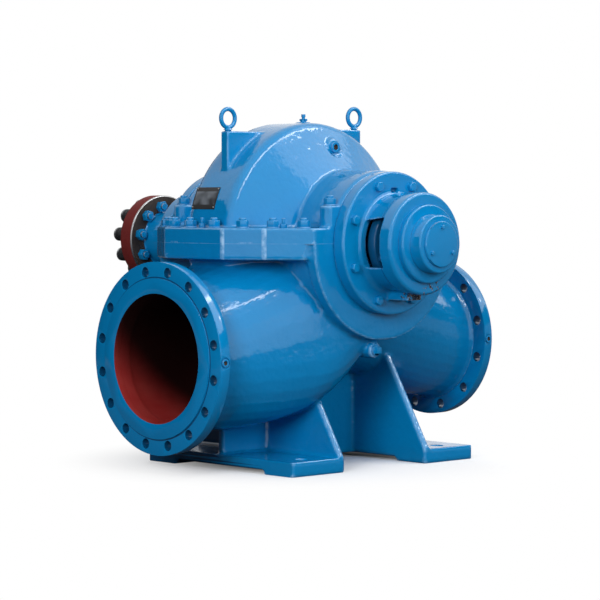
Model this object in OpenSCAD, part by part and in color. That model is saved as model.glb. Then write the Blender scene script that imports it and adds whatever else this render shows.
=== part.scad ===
// Horizontal split case pump, double suction, with the pump half of its pin coupling.
// X runs along the shaft to the closed bearing end, -Y to the suction flange, Z up from the base.

/* [Casing] */
// Height of the shaft centre above the base
shaft_height = 620; // [600:2:660]
// Distance from the middle of the casing to each machined end face
casing_half_length = 322; // [312:2:340]
// Outer radius of the volute
volute_radius = 332; // [320:2:340]
// How far the volute's centre lies from the shaft towards the suction side
volute_offset = 30; // [20:1:36]
// Half width of the volute's flat rim
volute_rim = 62; // [50:2:76]
// Radius of the volute's rounded shoulder
volute_shoulder = 36; // [20:2:44]
// Slope of the volute's flanks, as axial run for each radial millimetre
volute_flank = 0.625; // [0.5:0.025:0.75]
// Radius of the suction chambers over the shaft
chamber_radius = 198; // [194:1:204]
// Outer radius of the half rings at the casing's ends
end_ring_radius = 265; // [250:1:274]
// Thickness of the half rings at the casing's ends
end_ring_thickness = 36; // [24:2:44]

/* [Split flange] */
// Thickness of each half of the split flange
split_thickness = 43; // [34:1:50]
// Distance from the shaft to the flange's edge on the suction side
split_front = 412; // [404:2:424]
// Distance from the shaft to the flange's edge on the discharge side
split_rear = 356; // [346:2:370]
// Half length of the straight part of both long edges
split_straight = 118; // [100:2:130]
// Half length of the lower half's split flange, short of the end rings
split_end = 304; // [296:1:314]
// How far both edges of the split flange bend outwards between their corners
split_bend = 14; // [6:1:18]
// Height of the stud bosses beside the shaft, above the flange
stud_boss_height = 60; // [40:2:70]
// Distance of the stud bosses from the shaft
stud_boss_y = 186; // [180:2:200]
// Diameter of the stud bosses beside the shaft
stud_boss_d = 54; // [46:2:60]

/* [Suction nozzle] */
// Bore of the suction nozzle
suction_bore = 350; // [340:2:356]
// Wall of the suction nozzle behind its flange
suction_wall = 26; // [20:1:32]
// Outside diameter of the suction flange
suction_flange_d = 520; // [516:2:540]
// Thickness of the suction flange
suction_flange_t = 36; // [30:1:42]
// Bolt circle of the suction flange
suction_pcd = 470; // [466:1:476]
// Number of bolt holes in the suction flange
suction_holes = 16; // [12:4:20]
// Diameter of the bolt holes in the suction flange
suction_hole_d = 28; // [22:1:30]
// Diameter of the suction flange's raised face
suction_raised_d = 432; // [424:2:436]
// Distance from the shaft to the suction face
suction_reach = 545; // [530:5:580]
// Height of the suction nozzle's centre
suction_height = 313; // [300:1:330]
// Distance behind the suction flange at which the nozzle has widened to both chambers
suction_turn = 260; // [250:2:270]
// How far the nozzle's floor has risen under the shaft
suction_rise = 150; // [140:2:160]
// How far the nozzle's floor has risen behind the shaft
suction_rise_back = 290; // [280:2:300]
// How much narrower the nozzle is than the chambers where it has turned up
suction_waist = 22; // [16:1:28]
// How much narrower the hollow is than the skin's inside where it has turned up
suction_core = 30; // [24:1:36]

/* [Discharge nozzle] */
// Bore of the discharge nozzle
discharge_bore = 300; // [290:2:306]
// Wall of the discharge nozzle behind its flange
discharge_wall = 28; // [20:1:32]
// Outside diameter of the discharge flange
discharge_flange_d = 460; // [456:2:480]
// Thickness of the discharge flange
discharge_flange_t = 34; // [28:1:40]
// Bolt circle of the discharge flange
discharge_pcd = 410; // [406:1:416]
// Number of bolt holes in the discharge flange
discharge_holes = 12; // [8:4:16]
// Diameter of the bolt holes in the discharge flange
discharge_hole_d = 28; // [22:1:30]
// Diameter of the discharge flange's raised face
discharge_raised_d = 370; // [360:2:376]
// Distance from the shaft to the discharge face
discharge_reach = 541; // [525:5:580]
// Height of the discharge nozzle's centre
discharge_height = 334; // [320:1:345]
// How far the nozzle's floor has risen under the shaft
discharge_rise = 150; // [140:2:160]
// How much narrower the nozzle is under the shaft than at its flange
discharge_waist = 100; // [90:2:110]
// Length of the widening behind the discharge flange
discharge_turn = 140; // [130:2:150]
// Fillet where each nozzle meets its flange
neck_fillet = 14; // [8:1:16]
// Height of both flanges' raised faces
raised_face = 4; // [2:0.5:5]

/* [Feet] */
// Length of each foot along the shaft
foot_length = 596; // [560:4:640]
// Width of each foot plate
foot_width = 194; // [170:2:210]
// Thickness of each foot plate
foot_thickness = 40; // [32:1:50]
// Length of the machined pad at each end of a foot
foot_pad = 116; // [100:2:150]
// Depth of the relief between the pads
foot_relief = 11; // [6:1:14]
// Distance from the shaft to the suction foot's inner edge
suction_foot_y = 126; // [110:2:140]
// Distance from the shaft to the discharge foot's inner edge
discharge_foot_y = 186; // [170:2:200]
// Distance from the shaft down to the top of the feet's cross ribs
rib_drop = 410; // [400:2:430]
// Thickness of the feet's webs and ribs
web_t = 22; // [16:1:28]
// Slope of the webs' ends, as run for each millimetre of rise
web_slope = 0.6; // [0.5:0.02:0.66]
// Diameter of the foundation bolt holes
foot_hole_d = 33; // [26:1:36]
// Distance from a foot's inner edge to its bolt holes
foot_hole_inset = 109; // [90:1:130]
// Distance between the two bolt holes of a foot
foot_hole_spacing = 480; // [460:4:520]

/* [Bearing brackets] */
// Radius of the brackets' mounting flange
bracket_flange_radius = 195; // [188:1:204]
// Thickness of the brackets' mounting flange
bracket_flange_t = 38; // [28:1:44]
// Outer radius of the brackets' bearing housing
bracket_radius = 138; // [134:1:144]
// Outer radius of the brackets' arms, between the flange and the bearing housing
arm_radius = 131; // [128:1:132]
// Inner radius of the brackets' arms
arm_bore = 116; // [114:1:118]
// Length of the bearing housing along the shaft
housing_length = 48; // [42:1:54]
// Length of a bracket from the casing to its outer end
bracket_length = 155; // [148:1:175]
// Thickness of a bracket's end wall, which holds the bearing
bracket_end_t = 26; // [20:1:30]
// Height of the side windows below the shaft
window_low = 63; // [50:1:70]
// Height of the side windows above the shaft at the flange, growing towards the bearing
window_high = 63; // [50:1:70]
// Distance from the flange to the side windows
window_gap = 6; // [4:1:20]
// Width of the oil pipe slot over the arms
slot_width = 29; // [20:1:34]
// Height of the oil pipe slot over the arms
slot_height = 14; // [8:1:18]
// Width of the drain pad under the arms
pad_width = 52; // [44:1:60]
// Distance from the shaft down to the drain pad's underside
pad_drop = 153; // [146:1:158]
// Length of the drain pad along the shaft
pad_length = 77; // [60:1:84]
// Radius of the bearing covers' flange
cover_radius = 106; // [100:1:112]
// Thickness of the bearing covers' flange
cover_t = 17; // [12:1:22]
// Radius of the bearing covers' boss
cover_boss_radius = 78; // [72:1:82]
// Length of the bearing covers' boss
cover_boss_length = 37; // [30:1:46]
// Radius of the cap plate on the closed end
cap_radius = 62; // [56:1:66]
// Thickness of the cap plate on the closed end
cap_t = 7; // [5:1:10]

/* [Shaft and glands] */
// Shaft diameter in the bearings
journal_d = 80; // [70:1:86]
// Shaft diameter in the coupling
shaft_end_d = 65; // [55:1:68]
// Shaft diameter inside the casing
shaft_body_d = 90; // [86:1:92]
// Outside diameter of the shaft sleeves
sleeve_d = 104; // [98:1:108]
// Bore of the stuffing boxes
box_bore = 144; // [138:1:150]
// Depth of the stuffing boxes
box_depth = 70; // [50:2:90]
// Outside diameter of the glands' flange
gland_d = 218; // [200:2:220]
// Thickness of the glands' flange
gland_t = 26; // [20:1:28]
// Distance from the casing's end face to the glands' flange
gland_gap = 45; // [42:1:50]
// Running clearance of the shaft in its bearings, on the radius
running_gap = 0.3; // [0.1:0.05:0.3]

/* [Coupling] */
// Outside diameter of the coupling half
coupling_d = 260; // [250:2:276]
// Thickness of the coupling half's disc
coupling_t = 52; // [44:1:60]
// Distance from the middle of the casing to the disc's pump side
coupling_x = 606; // [600:2:630]
// Diameter of the coupling half's hub
hub_d = 154; // [140:2:156]
// Gap between the coupling half's hub and the bearing cover
hub_gap = 12; // [8:1:20]
// Number of coupling pins
pin_count = 10; // [8:1:10]
// Bolt circle of the coupling pins
pin_pcd = 196; // [194:1:204]
// Diameter of the coupling pins
pin_d = 20; // [16:1:22]
// Diameter of the rubber bushes on the pins
bush_d = 41; // [34:1:44]
// Length of the rubber bushes on the pins
bush_length = 40; // [30:1:50]
// Diameter of the pins' heads, which keep the bushes on
pin_head_d = 40; // [30:1:40]
// Thickness of the pins' heads
pin_head_t = 6; // [4:1:10]
// Width across flats of the pin nuts
nut_af = 30; // [27:1:32]
// Thickness of the pin nuts
nut_t = 16; // [12:1:20]

/* [Fittings] */
// Outside diameter of the lifting eyes
eye_d = 62; // [58:1:68]
// Section diameter of the lifting eyes
eye_section = 12; // [11:0.5:14]
// Diameter of the lifting eyes' necks
eye_neck = 18; // [16:1:22]
// Distance from the shaft to the eyebolt on the suction side
eye_front = 284; // [276:2:290]
// Distance from the shaft to the eyebolt on the discharge side
eye_rear = 200; // [190:2:210]
// Height of the eyebolt lug's top above the shaft, suction side
lug_front = 306; // [296:2:316]
// Height of the eyebolt lug's top above the shaft, discharge side
lug_rear = 318; // [308:2:326]
// Thickness of the eyebolt lugs
lug_t = 28; // [26:1:36]
// Distance from an eyebolt's axis to the free end of its lug
lug_end = 14; // [13:1:18]
// Diameter of the boss round the plug on the volute's flank
plug_boss_d = 48; // [42:2:52]
// Distance from the volute's middle to the plug's spot face
plug_face = 126; // [122:1:130]
// Height of the plug on the volute's flank above the shaft
flank_plug_rise = 264; // [258:1:270]
// Diameter of the boss under the vent cock
vent_boss_d = 42; // [38:1:52]
// Width of the vent cock's handle
vent_handle = 26; // [20:1:32]
// Diameter of the drain bosses under the end rings
drain_boss_d = 44; // [40:1:52]
// Gap between an end ring and the drain boss under it
drain_gap = 6; // [3:1:10]
// Diameter of the pipe plugs in the casing
plug_d = 30; // [24:1:30]
// Diameter of the gauge plugs in the flange rims
gauge_plug_d = 22; // [16:1:24]
// Depth of the flats for the gauge plugs
gauge_flat = 3; // [2:0.5:6]

/* [Hidden] */
$fn = 96;
big = 2000;
suction_neck = suction_bore / 2 + suction_wall;
discharge_neck = discharge_bore / 2 + discharge_wall;
suction_back = suction_reach - suction_flange_t;
discharge_back = discharge_reach - discharge_flange_t;
bracket_end = casing_half_length + bracket_length;
cover_end = bracket_end + cover_t + cover_boss_length;
sleeve_end = casing_half_length + gland_gap + gland_t + 4;
hub_start = cover_end + hub_gap;
coupling_far = coupling_x + coupling_t;
vent_seat = shaft_height + volute_radius + 4;
shaft_shoulder = casing_half_length - box_depth - 10;
loft_steps = 40;
loft_rings = 4;

paint = "steelblue";

// Point list of an arc about a centre
function arc(centre, r, from, to, steps) =
    [for (i = [0 : steps]) let (a = from + (to - from) * i / steps)
        centre + r * [cos(a), sin(a)]];

// Signed power, for the superellipse
function spow(v, p) = sign(v) * pow(abs(v), p);

// One station of a nozzle: an upright superellipse between two heights, at a distance along Y
function ring(y, half_w, low, high, power) =
    [for (i = [0 : loft_steps - 1]) let (a = 360 * i / loft_steps)
        [half_w * spow(cos(a), 2 / power), y,
         (low + high) / 2 + (high - low) / 2 * spow(sin(a), 2 / power)]];

// Smooth curve through a list of stations, at station i and share u of the way to the next
function through(s, i, u) =
    let (last = len(s) - 1, a = s[max(i - 1, 0)], b = s[i], c = s[min(i + 1, last)],
         d = s[min(i + 2, last)])
    b + u / 2 * ((c - a) + u * ((2 * a - 5 * b + 4 * c - d) + u * (3 * b - a - 3 * c + d)));

// Skin over smooth stations [y, half width, low, high, power]
module loft(stations) {
    shares = [for (i = [0 : len(stations) - 2]) for (j = [0 : loft_rings - 1]) [i, j / loft_rings]];
    smooth = concat([for (s = shares) through(stations, s[0], s[1])], [stations[len(stations) - 1]]);
    points = [for (s = smooth) each ring(s[0], s[1], s[2], s[3], s[4])];
    n = loft_steps;
    last = len(smooth) - 1;
    sides = [for (r = [0 : last - 1]) for (i = [0 : n - 1]) let (k = (i + 1) % n)
        each [[r * n + i, r * n + k, (r + 1) * n + k], [r * n + i, (r + 1) * n + k, (r + 1) * n + i]]];
    start = [[for (i = [n - 1 : -1 : 0]) i]];
    finish = [[for (i = [0 : n - 1]) last * n + i]];
    polyhedron(points, concat(sides, start, finish));
}

// Solid of revolution about the shaft, from a profile of [radius, distance along X]
module about_shaft(profile, y = 0) {
    translate([0, y, shaft_height]) rotate([90, 0, 90]) rotate_extrude() polygon(profile);
}

// Moves a piece from the shaft's plane to the middle of the four foundation bolts
module on_base() {
    translate([0, (suction_foot_y - discharge_foot_y) / 2, 0]) children();
}

// Cylinder along X on the shaft's axis between two distances
module shaft_cylinder(r, from, to) {
    translate([from, 0, shaft_height]) rotate([0, 90, 0]) cylinder(r = r, h = to - from);
}

// Cylinder along Y at a height, between two distances
module nozzle_cylinder(r, from, to, z) {
    translate([0, from, z]) rotate([-90, 0, 0]) cylinder(r = r, h = to - from);
}

module upper_half() {
    intersection() {
        children();
        translate([-big / 2, -big / 2, shaft_height]) cube(big);
    }
}

module lower_half() {
    intersection() {
        children();
        translate([-big / 2, -big / 2, shaft_height - big]) cube(big);
    }
}

// The volute's outer body, a little off the shaft's centre because its section grows round the turn
module volute_body() {
    tilt = atan(1 / volute_flank);
    centre = [volute_radius - volute_shoulder, volute_rim];
    shoulder = arc(centre, volute_shoulder, 0, tilt, 8);
    foot = shoulder[8];
    drop = foot[0] - chamber_radius + 14;
    half = concat(shoulder, [foot + drop * [-1, volute_flank]]);
    axis_end = half[len(half) - 1][1];
    mirrored = [for (i = [len(half) - 1 : -1 : 0]) [half[i][0], -half[i][1]]];
    about_shaft(concat([[0, -axis_end]], mirrored, half, [[0, axis_end]]), -volute_offset);
}

// Plan of the split flange
module split_plan() {
    bend = (split_straight + casing_half_length) / 2;
    side = [[split_straight, -split_front], [bend, -(split_front + end_ring_radius) / 2 - split_bend],
        [casing_half_length, -end_ring_radius], [casing_half_length, end_ring_radius],
        [bend, (split_rear + end_ring_radius) / 2 + split_bend], [split_straight, split_rear]];
    polygon(concat(side, [for (i = [len(side) - 1 : -1 : 0]) [-side[i][0], side[i][1]]]));
}

// Bore for the shaft and the stuffing boxes at both ends
module shaft_bores() {
    neck = sleeve_d / 2 + 2;
    shaft_cylinder(neck, -casing_half_length - 1, casing_half_length + 1);
    for (s = [-1, 1]) scale([s, 1, 1])
        shaft_cylinder(box_bore / 2, casing_half_length - box_depth, casing_half_length + 1);
}

// Children at the spot face on the volute's flank, with Z pointing out of it
module on_flank() {
    translate([plug_face, 0, shaft_height + flank_plug_rise]) rotate([0, 90, 0]) children();
}

// Lug that carries an eyebolt
module eye_lug(reach, top) {
    from = min(reach - lug_end, 0);
    to = max(reach + lug_end, 0);
    translate([-lug_t / 2, from, shaft_height + 100]) cube([lug_t, to - from, top - 100]);
}

module upper_casing() {
    color(paint) on_base() difference() {
        union() {
            upper_half() {
                union() {
                    volute_body();
                    about_shaft([[0, -casing_half_length], [chamber_radius - 5, -casing_half_length],
                        [chamber_radius, -casing_half_length + 12], [chamber_radius, casing_half_length - 12],
                        [chamber_radius - 5, casing_half_length], [0, casing_half_length]]);
                }
            }
            translate([0, 0, shaft_height]) linear_extrude(split_thickness) split_plan();
            intersection() {
                for (x = [-1, 1], y = [-1, 1])
                    translate([x * (casing_half_length - 22), y * stud_boss_y, shaft_height])
                        cylinder(d = stud_boss_d, h = split_thickness + stud_boss_height);
                translate([-casing_half_length, -big / 2, 0]) cube([2 * casing_half_length, big, big]);
            }
            eye_lug(-eye_front, lug_front);
            eye_lug(eye_rear, lug_rear);
            translate([0, 0, vent_seat - 60]) cylinder(d = vent_boss_d, h = 60);
            on_flank() translate([0, 0, -50]) cylinder(d = plug_boss_d, h = 50);
        }
        on_flank() cylinder(d = plug_boss_d + 8, h = 60);
        shaft_bores();
    }
}

// Ring of bolt holes along Y
module flange_holes(count, pcd, d, from, to, z) {
    for (i = [0 : count - 1]) let (a = 360 * (i + 0.5) / count)
        translate([pcd / 2 * cos(a), 0, pcd / 2 * sin(a)]) nozzle_cylinder(d / 2, from, to, z);
}

// One foot: plate, web along the shaft and a rib across it, for the foot whose inner edge is at y
module foot(y, out) {
    half = foot_length / 2;
    rise = shaft_height / 2 + 50 - foot_thickness;
    translate([0, y, 0]) scale([1, out, 1]) {
        difference() {
            translate([-half, 0, 0]) cube([foot_length, foot_width, foot_thickness]);
            translate([-half + foot_pad, -1, -1])
                cube([foot_length - 2 * foot_pad, foot_width + 2, foot_relief + 1]);
            for (s = [-1, 1])
                translate([s * foot_hole_spacing / 2, foot_hole_inset, -1])
                    cylinder(d = foot_hole_d, h = foot_thickness + 2);
        }
        translate([0, web_t, 0]) rotate([90, 0, 0]) linear_extrude(web_t)
            polygon([[-half, foot_thickness], [half, foot_thickness],
                [half - web_slope * rise, foot_thickness + rise], [-half + web_slope * rise, foot_thickness + rise]]);
        translate([-web_t / 2, 0, foot_thickness - 1]) cube([web_t, foot_width - 6, shaft_height - rib_drop - foot_thickness]);
    }
}

// Suction nozzle: round behind its flange, then widening and curling up into both chambers
module suction_skin() {
    half = casing_half_length - end_ring_thickness + 4;
    low = suction_height - suction_neck;
    roof = shaft_height - split_thickness + 20;
    flare = suction_neck + neck_fillet;
    bell = suction_neck + neck_fillet * 0.3;
    loft([[-suction_back - 1, flare, suction_height - flare, suction_height + flare, 2],
        [-suction_back + neck_fillet * 0.5, bell, suction_height - bell, suction_height + bell, 2],
        [-suction_back + neck_fillet * 1.4, suction_neck + 2, low - 2, suction_height + suction_neck + 2, 2],
        [-suction_back + 110, suction_neck + 22, low - 2, suction_height + suction_neck + 30, 2.2],
        [-suction_back + suction_turn, half - suction_waist, low + 8, roof, 2.6],
        [-suction_foot_y - 8, half, low + 50, roof, 3],
        [-20, half, low + suction_rise, roof, 3],
        [70, half, low + suction_rise_back, roof, 3]]);
}

// Hollow of the suction nozzle, a wall's thickness inside the skin
module suction_hollow() {
    half = casing_half_length - end_ring_thickness + 4 - suction_wall;
    low = suction_height - suction_bore / 2;
    roof = shaft_height - split_thickness - suction_wall;
    mouth = suction_bore / 2 + 2;
    loft([[-suction_back + 20, mouth, suction_height - mouth, suction_height + mouth, 2],
        [-suction_back + 110, suction_bore / 2 + 18, low, suction_height + suction_bore / 2 + 20, 2.2],
        [-suction_back + suction_turn, half - suction_core, low + 14, roof, 2.6],
        [-suction_foot_y - 40, half - 10, low + 50, roof, 3]]);
}

// Discharge nozzle: leaves the bottom of the volute and turns round towards its flange
module discharge_skin() {
    low = discharge_height - discharge_neck;
    roof = shaft_height - split_thickness + 10;
    flare = discharge_neck + neck_fillet;
    bell = discharge_neck + neck_fillet * 0.3;
    loft([[-40, discharge_neck - discharge_waist, low + discharge_rise, roof, 2.4],
        [80, discharge_neck - 50, low + 118, roof, 2.4],
        [discharge_foot_y + 20, discharge_neck - 12, low + 74, roof - 16, 2.3],
        [discharge_back - discharge_turn, discharge_neck, low + 20, discharge_height + discharge_neck + 30, 2.1],
        [discharge_back - neck_fillet * 1.4, discharge_neck + 1, low - 1, discharge_height + discharge_neck + 2, 2],
        [discharge_back - neck_fillet * 0.5, bell, discharge_height - bell, discharge_height + bell, 2],
        [discharge_back + 1, flare, discharge_height - flare, discharge_height + flare, 2]]);
}

// Hollow of the discharge nozzle
module discharge_hollow() {
    low = discharge_height - discharge_bore / 2;
    roof = shaft_height - split_thickness - discharge_wall;
    mouth = discharge_bore / 2 + 2;
    loft([[90, discharge_bore / 2 - 66, low + 118, roof - 10, 2.4],
        [discharge_foot_y + 20, discharge_bore / 2 - 22, low + 78, roof - 20, 2.3],
        [discharge_back - discharge_turn, discharge_bore / 2 - 2, low + 22, discharge_height + discharge_bore / 2 + 24, 2.1],
        [discharge_back - 20, mouth, discharge_height - mouth, discharge_height + mouth, 2]]);
}

// Children at the drain boss under the +X end ring, with Z outwards
module at_drain() {
    translate([casing_half_length - end_ring_thickness + 12, -10, shaft_height - end_ring_radius - drain_boss_d / 2 - drain_gap])
        rotate([0, 90, 0]) children();
}

// Children at the flat for the gauge plug on the suction flange's rim
module at_suction_gauge() {
    translate([suction_flange_d / 2 - gauge_flat, -suction_back - (suction_flange_t - raised_face) / 2, suction_height])
        rotate([0, 90, 0]) children();
}

// Children at the flat for the gauge plug on the discharge flange's rim
module at_discharge_gauge() {
    translate([discharge_flange_d / 2 - gauge_flat, discharge_back + (discharge_flange_t - raised_face) / 2, discharge_height])
        rotate([0, 90, 0]) children();
}

module lower_casing() {
    color(paint) on_base() difference() {
        union() {
            lower_half() {
                union() {
                    volute_body();
                    shaft_cylinder(end_ring_radius - 12, -casing_half_length + end_ring_thickness, casing_half_length - end_ring_thickness);
                    for (s = [-1, 1]) scale([s, 1, 1])
                        shaft_cylinder(end_ring_radius, casing_half_length - end_ring_thickness, casing_half_length);
                }
            }
            translate([0, 0, shaft_height - split_thickness]) linear_extrude(split_thickness) intersection() {
                split_plan();
                square([2 * split_end, big], center = true);
            }
            suction_skin();
            discharge_skin();
            nozzle_cylinder(suction_flange_d / 2, -suction_reach + raised_face, -suction_back, suction_height);
            nozzle_cylinder(suction_raised_d / 2, -suction_reach, -suction_reach + raised_face + 8, suction_height);
            nozzle_cylinder(discharge_flange_d / 2, discharge_back, discharge_reach - raised_face, discharge_height);
            nozzle_cylinder(discharge_raised_d / 2, discharge_reach - raised_face - 8, discharge_reach, discharge_height);
            foot(-suction_foot_y, -1);
            foot(discharge_foot_y, 1);
            translate([-web_t / 2, -suction_foot_y - 1, foot_relief])
                cube([web_t, suction_foot_y + discharge_foot_y + 2, shaft_height / 2]);
            for (s = [-1, 1]) scale([s, 1, 1]) at_drain() translate([0, 0, -120]) cylinder(d = drain_boss_d, h = 120);
        }
        at_suction_gauge() cylinder(d = plug_d, h = 20);
        at_discharge_gauge() cylinder(d = plug_d, h = 20);
        shaft_bores();
        nozzle_cylinder(suction_bore / 2, -suction_reach - 1, -suction_back + 30, suction_height);
        nozzle_cylinder(discharge_bore / 2, discharge_back - 30, discharge_reach + 1, discharge_height);
        difference() {
            suction_hollow();
            volute_body();
        }
        discharge_hollow();
        flange_holes(suction_holes, suction_pcd, suction_hole_d, -suction_reach - 1, -suction_back + 1, suction_height);
        flange_holes(discharge_holes, discharge_pcd, discharge_hole_d, discharge_back - 1, discharge_reach + 1, discharge_height);
    }
}

// Cutter through both side windows of the +X bracket, higher at the bearing than at the flange
module side_windows() {
    from = casing_half_length + bracket_flange_t + window_gap;
    to = bracket_end - housing_length + 7;
    translate([0, bracket_flange_radius, shaft_height]) rotate([90, 0, 0])
        linear_extrude(2 * bracket_flange_radius)
            polygon([[from, -window_low], [to, -window_low], [to, window_high + 9], [from, window_high]]);
}

// Pad under the arms that takes the gland's drain
module drain_pad() {
    face = casing_half_length + bracket_flange_t;
    translate([face - 4, -pad_width / 2, shaft_height - pad_drop])
        cube([pad_length + 4, pad_width, pad_drop - arm_bore - 4]);
}

// Bearing bracket at the +X end
module bracket() {
    flange_end = casing_half_length + bracket_flange_t;
    housing = bracket_end - housing_length;
    difference() {
        union() {
            about_shaft([[0, casing_half_length], [bracket_flange_radius, casing_half_length],
                [bracket_flange_radius, flange_end - 4], [bracket_flange_radius - 4, flange_end],
                [arm_radius + 11, flange_end], [arm_radius + 4, flange_end + 4], [arm_radius, flange_end + 12],
                [arm_radius, housing - 8], [bracket_radius - 2, housing], [bracket_radius, housing + 5],
                [bracket_radius, bracket_end - 5], [bracket_radius - 5, bracket_end], [0, bracket_end]]);
            drain_pad();
        }
        difference() {
            shaft_cylinder(arm_bore, casing_half_length - 1, bracket_end - bracket_end_t);
            shaft_cylinder(cover_radius - 18, bracket_end - bracket_end_t - 8, bracket_end);
        }
        difference() {
            side_windows();
            shaft_cylinder(cover_radius - 18, bracket_end - bracket_end_t - 8, bracket_end);
        }
        translate([flange_end - 16, -slot_width / 2, shaft_height + arm_radius + 6])
            cube([17, slot_width, slot_height]);
        shaft_cylinder(journal_d / 2 + running_gap, casing_half_length, bracket_end + 1);
    }
}

module nde_bearing_bracket() {
    color(paint) on_base() bracket();
}

module de_bearing_bracket() {
    color(paint) on_base() scale([-1, 1, 1]) bracket();
}

// Outer bearing cover at the +X end, with a bore of the given radius from inside up to a distance
module cover(bore, bore_end) {
    difference() {
        about_shaft([[0, bracket_end], [cover_radius, bracket_end], [cover_radius, bracket_end + cover_t - 3],
            [cover_radius - 3, bracket_end + cover_t], [cover_boss_radius, bracket_end + cover_t],
            [cover_boss_radius, cover_end - 3], [cover_boss_radius - 3, cover_end], [0, cover_end]]);
        shaft_cylinder(bore, bracket_end - 1, bore_end);
    }
}

module nde_bearing_cover() {
    color(paint) on_base() cover(journal_d / 2 + 2, bracket_end + cover_t + 6);
}

module de_bearing_cover() {
    color(paint) on_base() scale([-1, 1, 1]) cover(shaft_end_d / 2 + 1, cover_end + 1);
}

module nde_cap_plate() {
    color(paint) on_base() about_shaft([[0, cover_end], [cap_radius, cover_end], [cap_radius, cover_end + cap_t - 2],
        [cap_radius - 2, cover_end + cap_t], [0, cover_end + cap_t]]);
}

// Inner bearing cover at the +X end
module inner_cover() {
    face = bracket_end - bracket_end_t - 8;
    difference() {
        shaft_cylinder(cover_radius - 26, face - 10, face);
        shaft_cylinder(journal_d / 2 + 1, face - 11, face + 1);
    }
}

module nde_inner_cover() {
    color(paint) on_base() inner_cover();
}

module de_inner_cover() {
    color(paint) on_base() scale([-1, 1, 1]) inner_cover();
}

// Gland at the +X end: a flange held off the casing, with a nose in the stuffing box
module gland() {
    start = casing_half_length + gland_gap;
    nose = box_bore / 2 - running_gap;
    difference() {
        about_shaft([[0, casing_half_length - 20], [nose - 3, casing_half_length - 20], [nose, casing_half_length - 17],
            [nose, start], [gland_d / 2, start], [gland_d / 2, start + gland_t - 3],
            [gland_d / 2 - 3, start + gland_t], [0, start + gland_t]]);
        shaft_cylinder(sleeve_d / 2 + 2, casing_half_length - 21, start + gland_t + 1);
    }
}

module nde_gland() {
    color(paint) on_base() gland();
}

module de_gland() {
    color(paint) on_base() scale([-1, 1, 1]) gland();
}

module shaft() {
    half = shaft_shoulder;
    color("silver") on_base() about_shaft([[0, -coupling_far + 4], [shaft_end_d / 2 - 2, -coupling_far + 4],
        [shaft_end_d / 2, -coupling_far + 6], [shaft_end_d / 2, -bracket_end],
        [journal_d / 2, -bracket_end], [journal_d / 2, -half], [shaft_body_d / 2, -half],
        [shaft_body_d / 2, half], [journal_d / 2, half], [journal_d / 2, bracket_end + 12],
        [journal_d / 2 - 3, bracket_end + 15], [0, bracket_end + 15]]);
}

// Sleeve over the shaft at the +X end
module sleeve() {
    difference() {
        shaft_cylinder(sleeve_d / 2, shaft_shoulder, sleeve_end);
        shaft_cylinder(journal_d / 2, shaft_shoulder - 1, sleeve_end + 1);
    }
}

module nde_shaft_sleeve() {
    color("silver") on_base() sleeve();
}

module de_shaft_sleeve() {
    color("silver") on_base() scale([-1, 1, 1]) sleeve();
}

// Children at each coupling pin's place
module at_pins() {
    for (i = [0 : pin_count - 1])
        translate([0, 0, shaft_height]) rotate([360 * (i + 0.77) / pin_count, 0, 0])
            translate([0, pin_pcd / 2, 0]) rotate([0, -90, 0]) children();
}

module coupling_half() {
    color("firebrick") on_base() difference() {
        about_shaft([[shaft_end_d / 2, -coupling_far], [coupling_d / 2 - 3, -coupling_far],
            [coupling_d / 2, -coupling_far + 3], [coupling_d / 2, -coupling_x - 3],
            [coupling_d / 2 - 3, -coupling_x], [hub_d / 2 + 4, -coupling_x], [hub_d / 2, -coupling_x + 4],
            [hub_d / 2, -hub_start - 3], [hub_d / 2 - 3, -hub_start], [shaft_end_d / 2, -hub_start]]);
        at_pins() translate([0, 0, coupling_x - 1]) cylinder(d = pin_d, h = coupling_t + 2);
    }
}

module coupling_pins() {
    color("silver") on_base() at_pins() {
        translate([0, 0, coupling_x - nut_t - 6]) cylinder(d = pin_d, h = nut_t + 6 + coupling_t + bush_length);
        translate([0, 0, coupling_far + bush_length]) cylinder(d = pin_head_d, h = pin_head_t);
    }
}

module coupling_bushes() {
    color("dimgray") on_base() at_pins() translate([0, 0, coupling_far]) difference() {
        cylinder(d = bush_d, h = bush_length);
        translate([0, 0, -1]) cylinder(d = pin_d, h = bush_length + 2);
    }
}

module coupling_nuts() {
    color(paint) on_base() at_pins() translate([0, 0, coupling_x - nut_t]) difference() {
        cylinder(d = nut_af / cos(30), h = nut_t, $fn = 6);
        translate([0, 0, -1]) cylinder(d = pin_d, h = nut_t + 2);
    }
}

// Eyebolt standing on a lug at y, with its ring facing along the shaft
module eyebolt(y, top) {
    base = shaft_height + top;
    ring = (eye_d - eye_section) / 2;
    translate([0, y, base]) {
        cylinder(d = eye_neck, h = 6);
        translate([0, 0, 3]) cylinder(d1 = eye_neck + 8, d2 = eye_section / 2, h = eye_section - 2);
        translate([0, 0, eye_d / 2 + 4]) rotate([90, 0, 90]) rotate_extrude()
            translate([ring, 0]) circle(d = eye_section, $fn = 48);
    }
}

module suction_eyebolt() {
    color(paint) on_base() eyebolt(-eye_front, lug_front);
}

module discharge_eyebolt() {
    color(paint) on_base() eyebolt(eye_rear, lug_rear);
}

module vent_cock() {
    color(paint) on_base() translate([0, 0, vent_seat]) {
        cylinder(d = vent_handle * 0.7, h = 4, $fn = 6);
        cylinder(d = vent_handle * 0.36, h = 20);
        translate([-vent_handle / 2, -3, 3]) cube([vent_handle, 6, 6]);
        translate([0, 0, 14]) cylinder(d = vent_handle * 0.46, h = 8);
    }
}

// Pipe plug with a square head, standing on Z = 0
module pipe_plug(d) {
    cylinder(d = d, h = 5);
    translate([-d * 0.28, -d * 0.28, 0]) cube([d * 0.56, d * 0.56, d * 0.5]);
}

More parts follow.
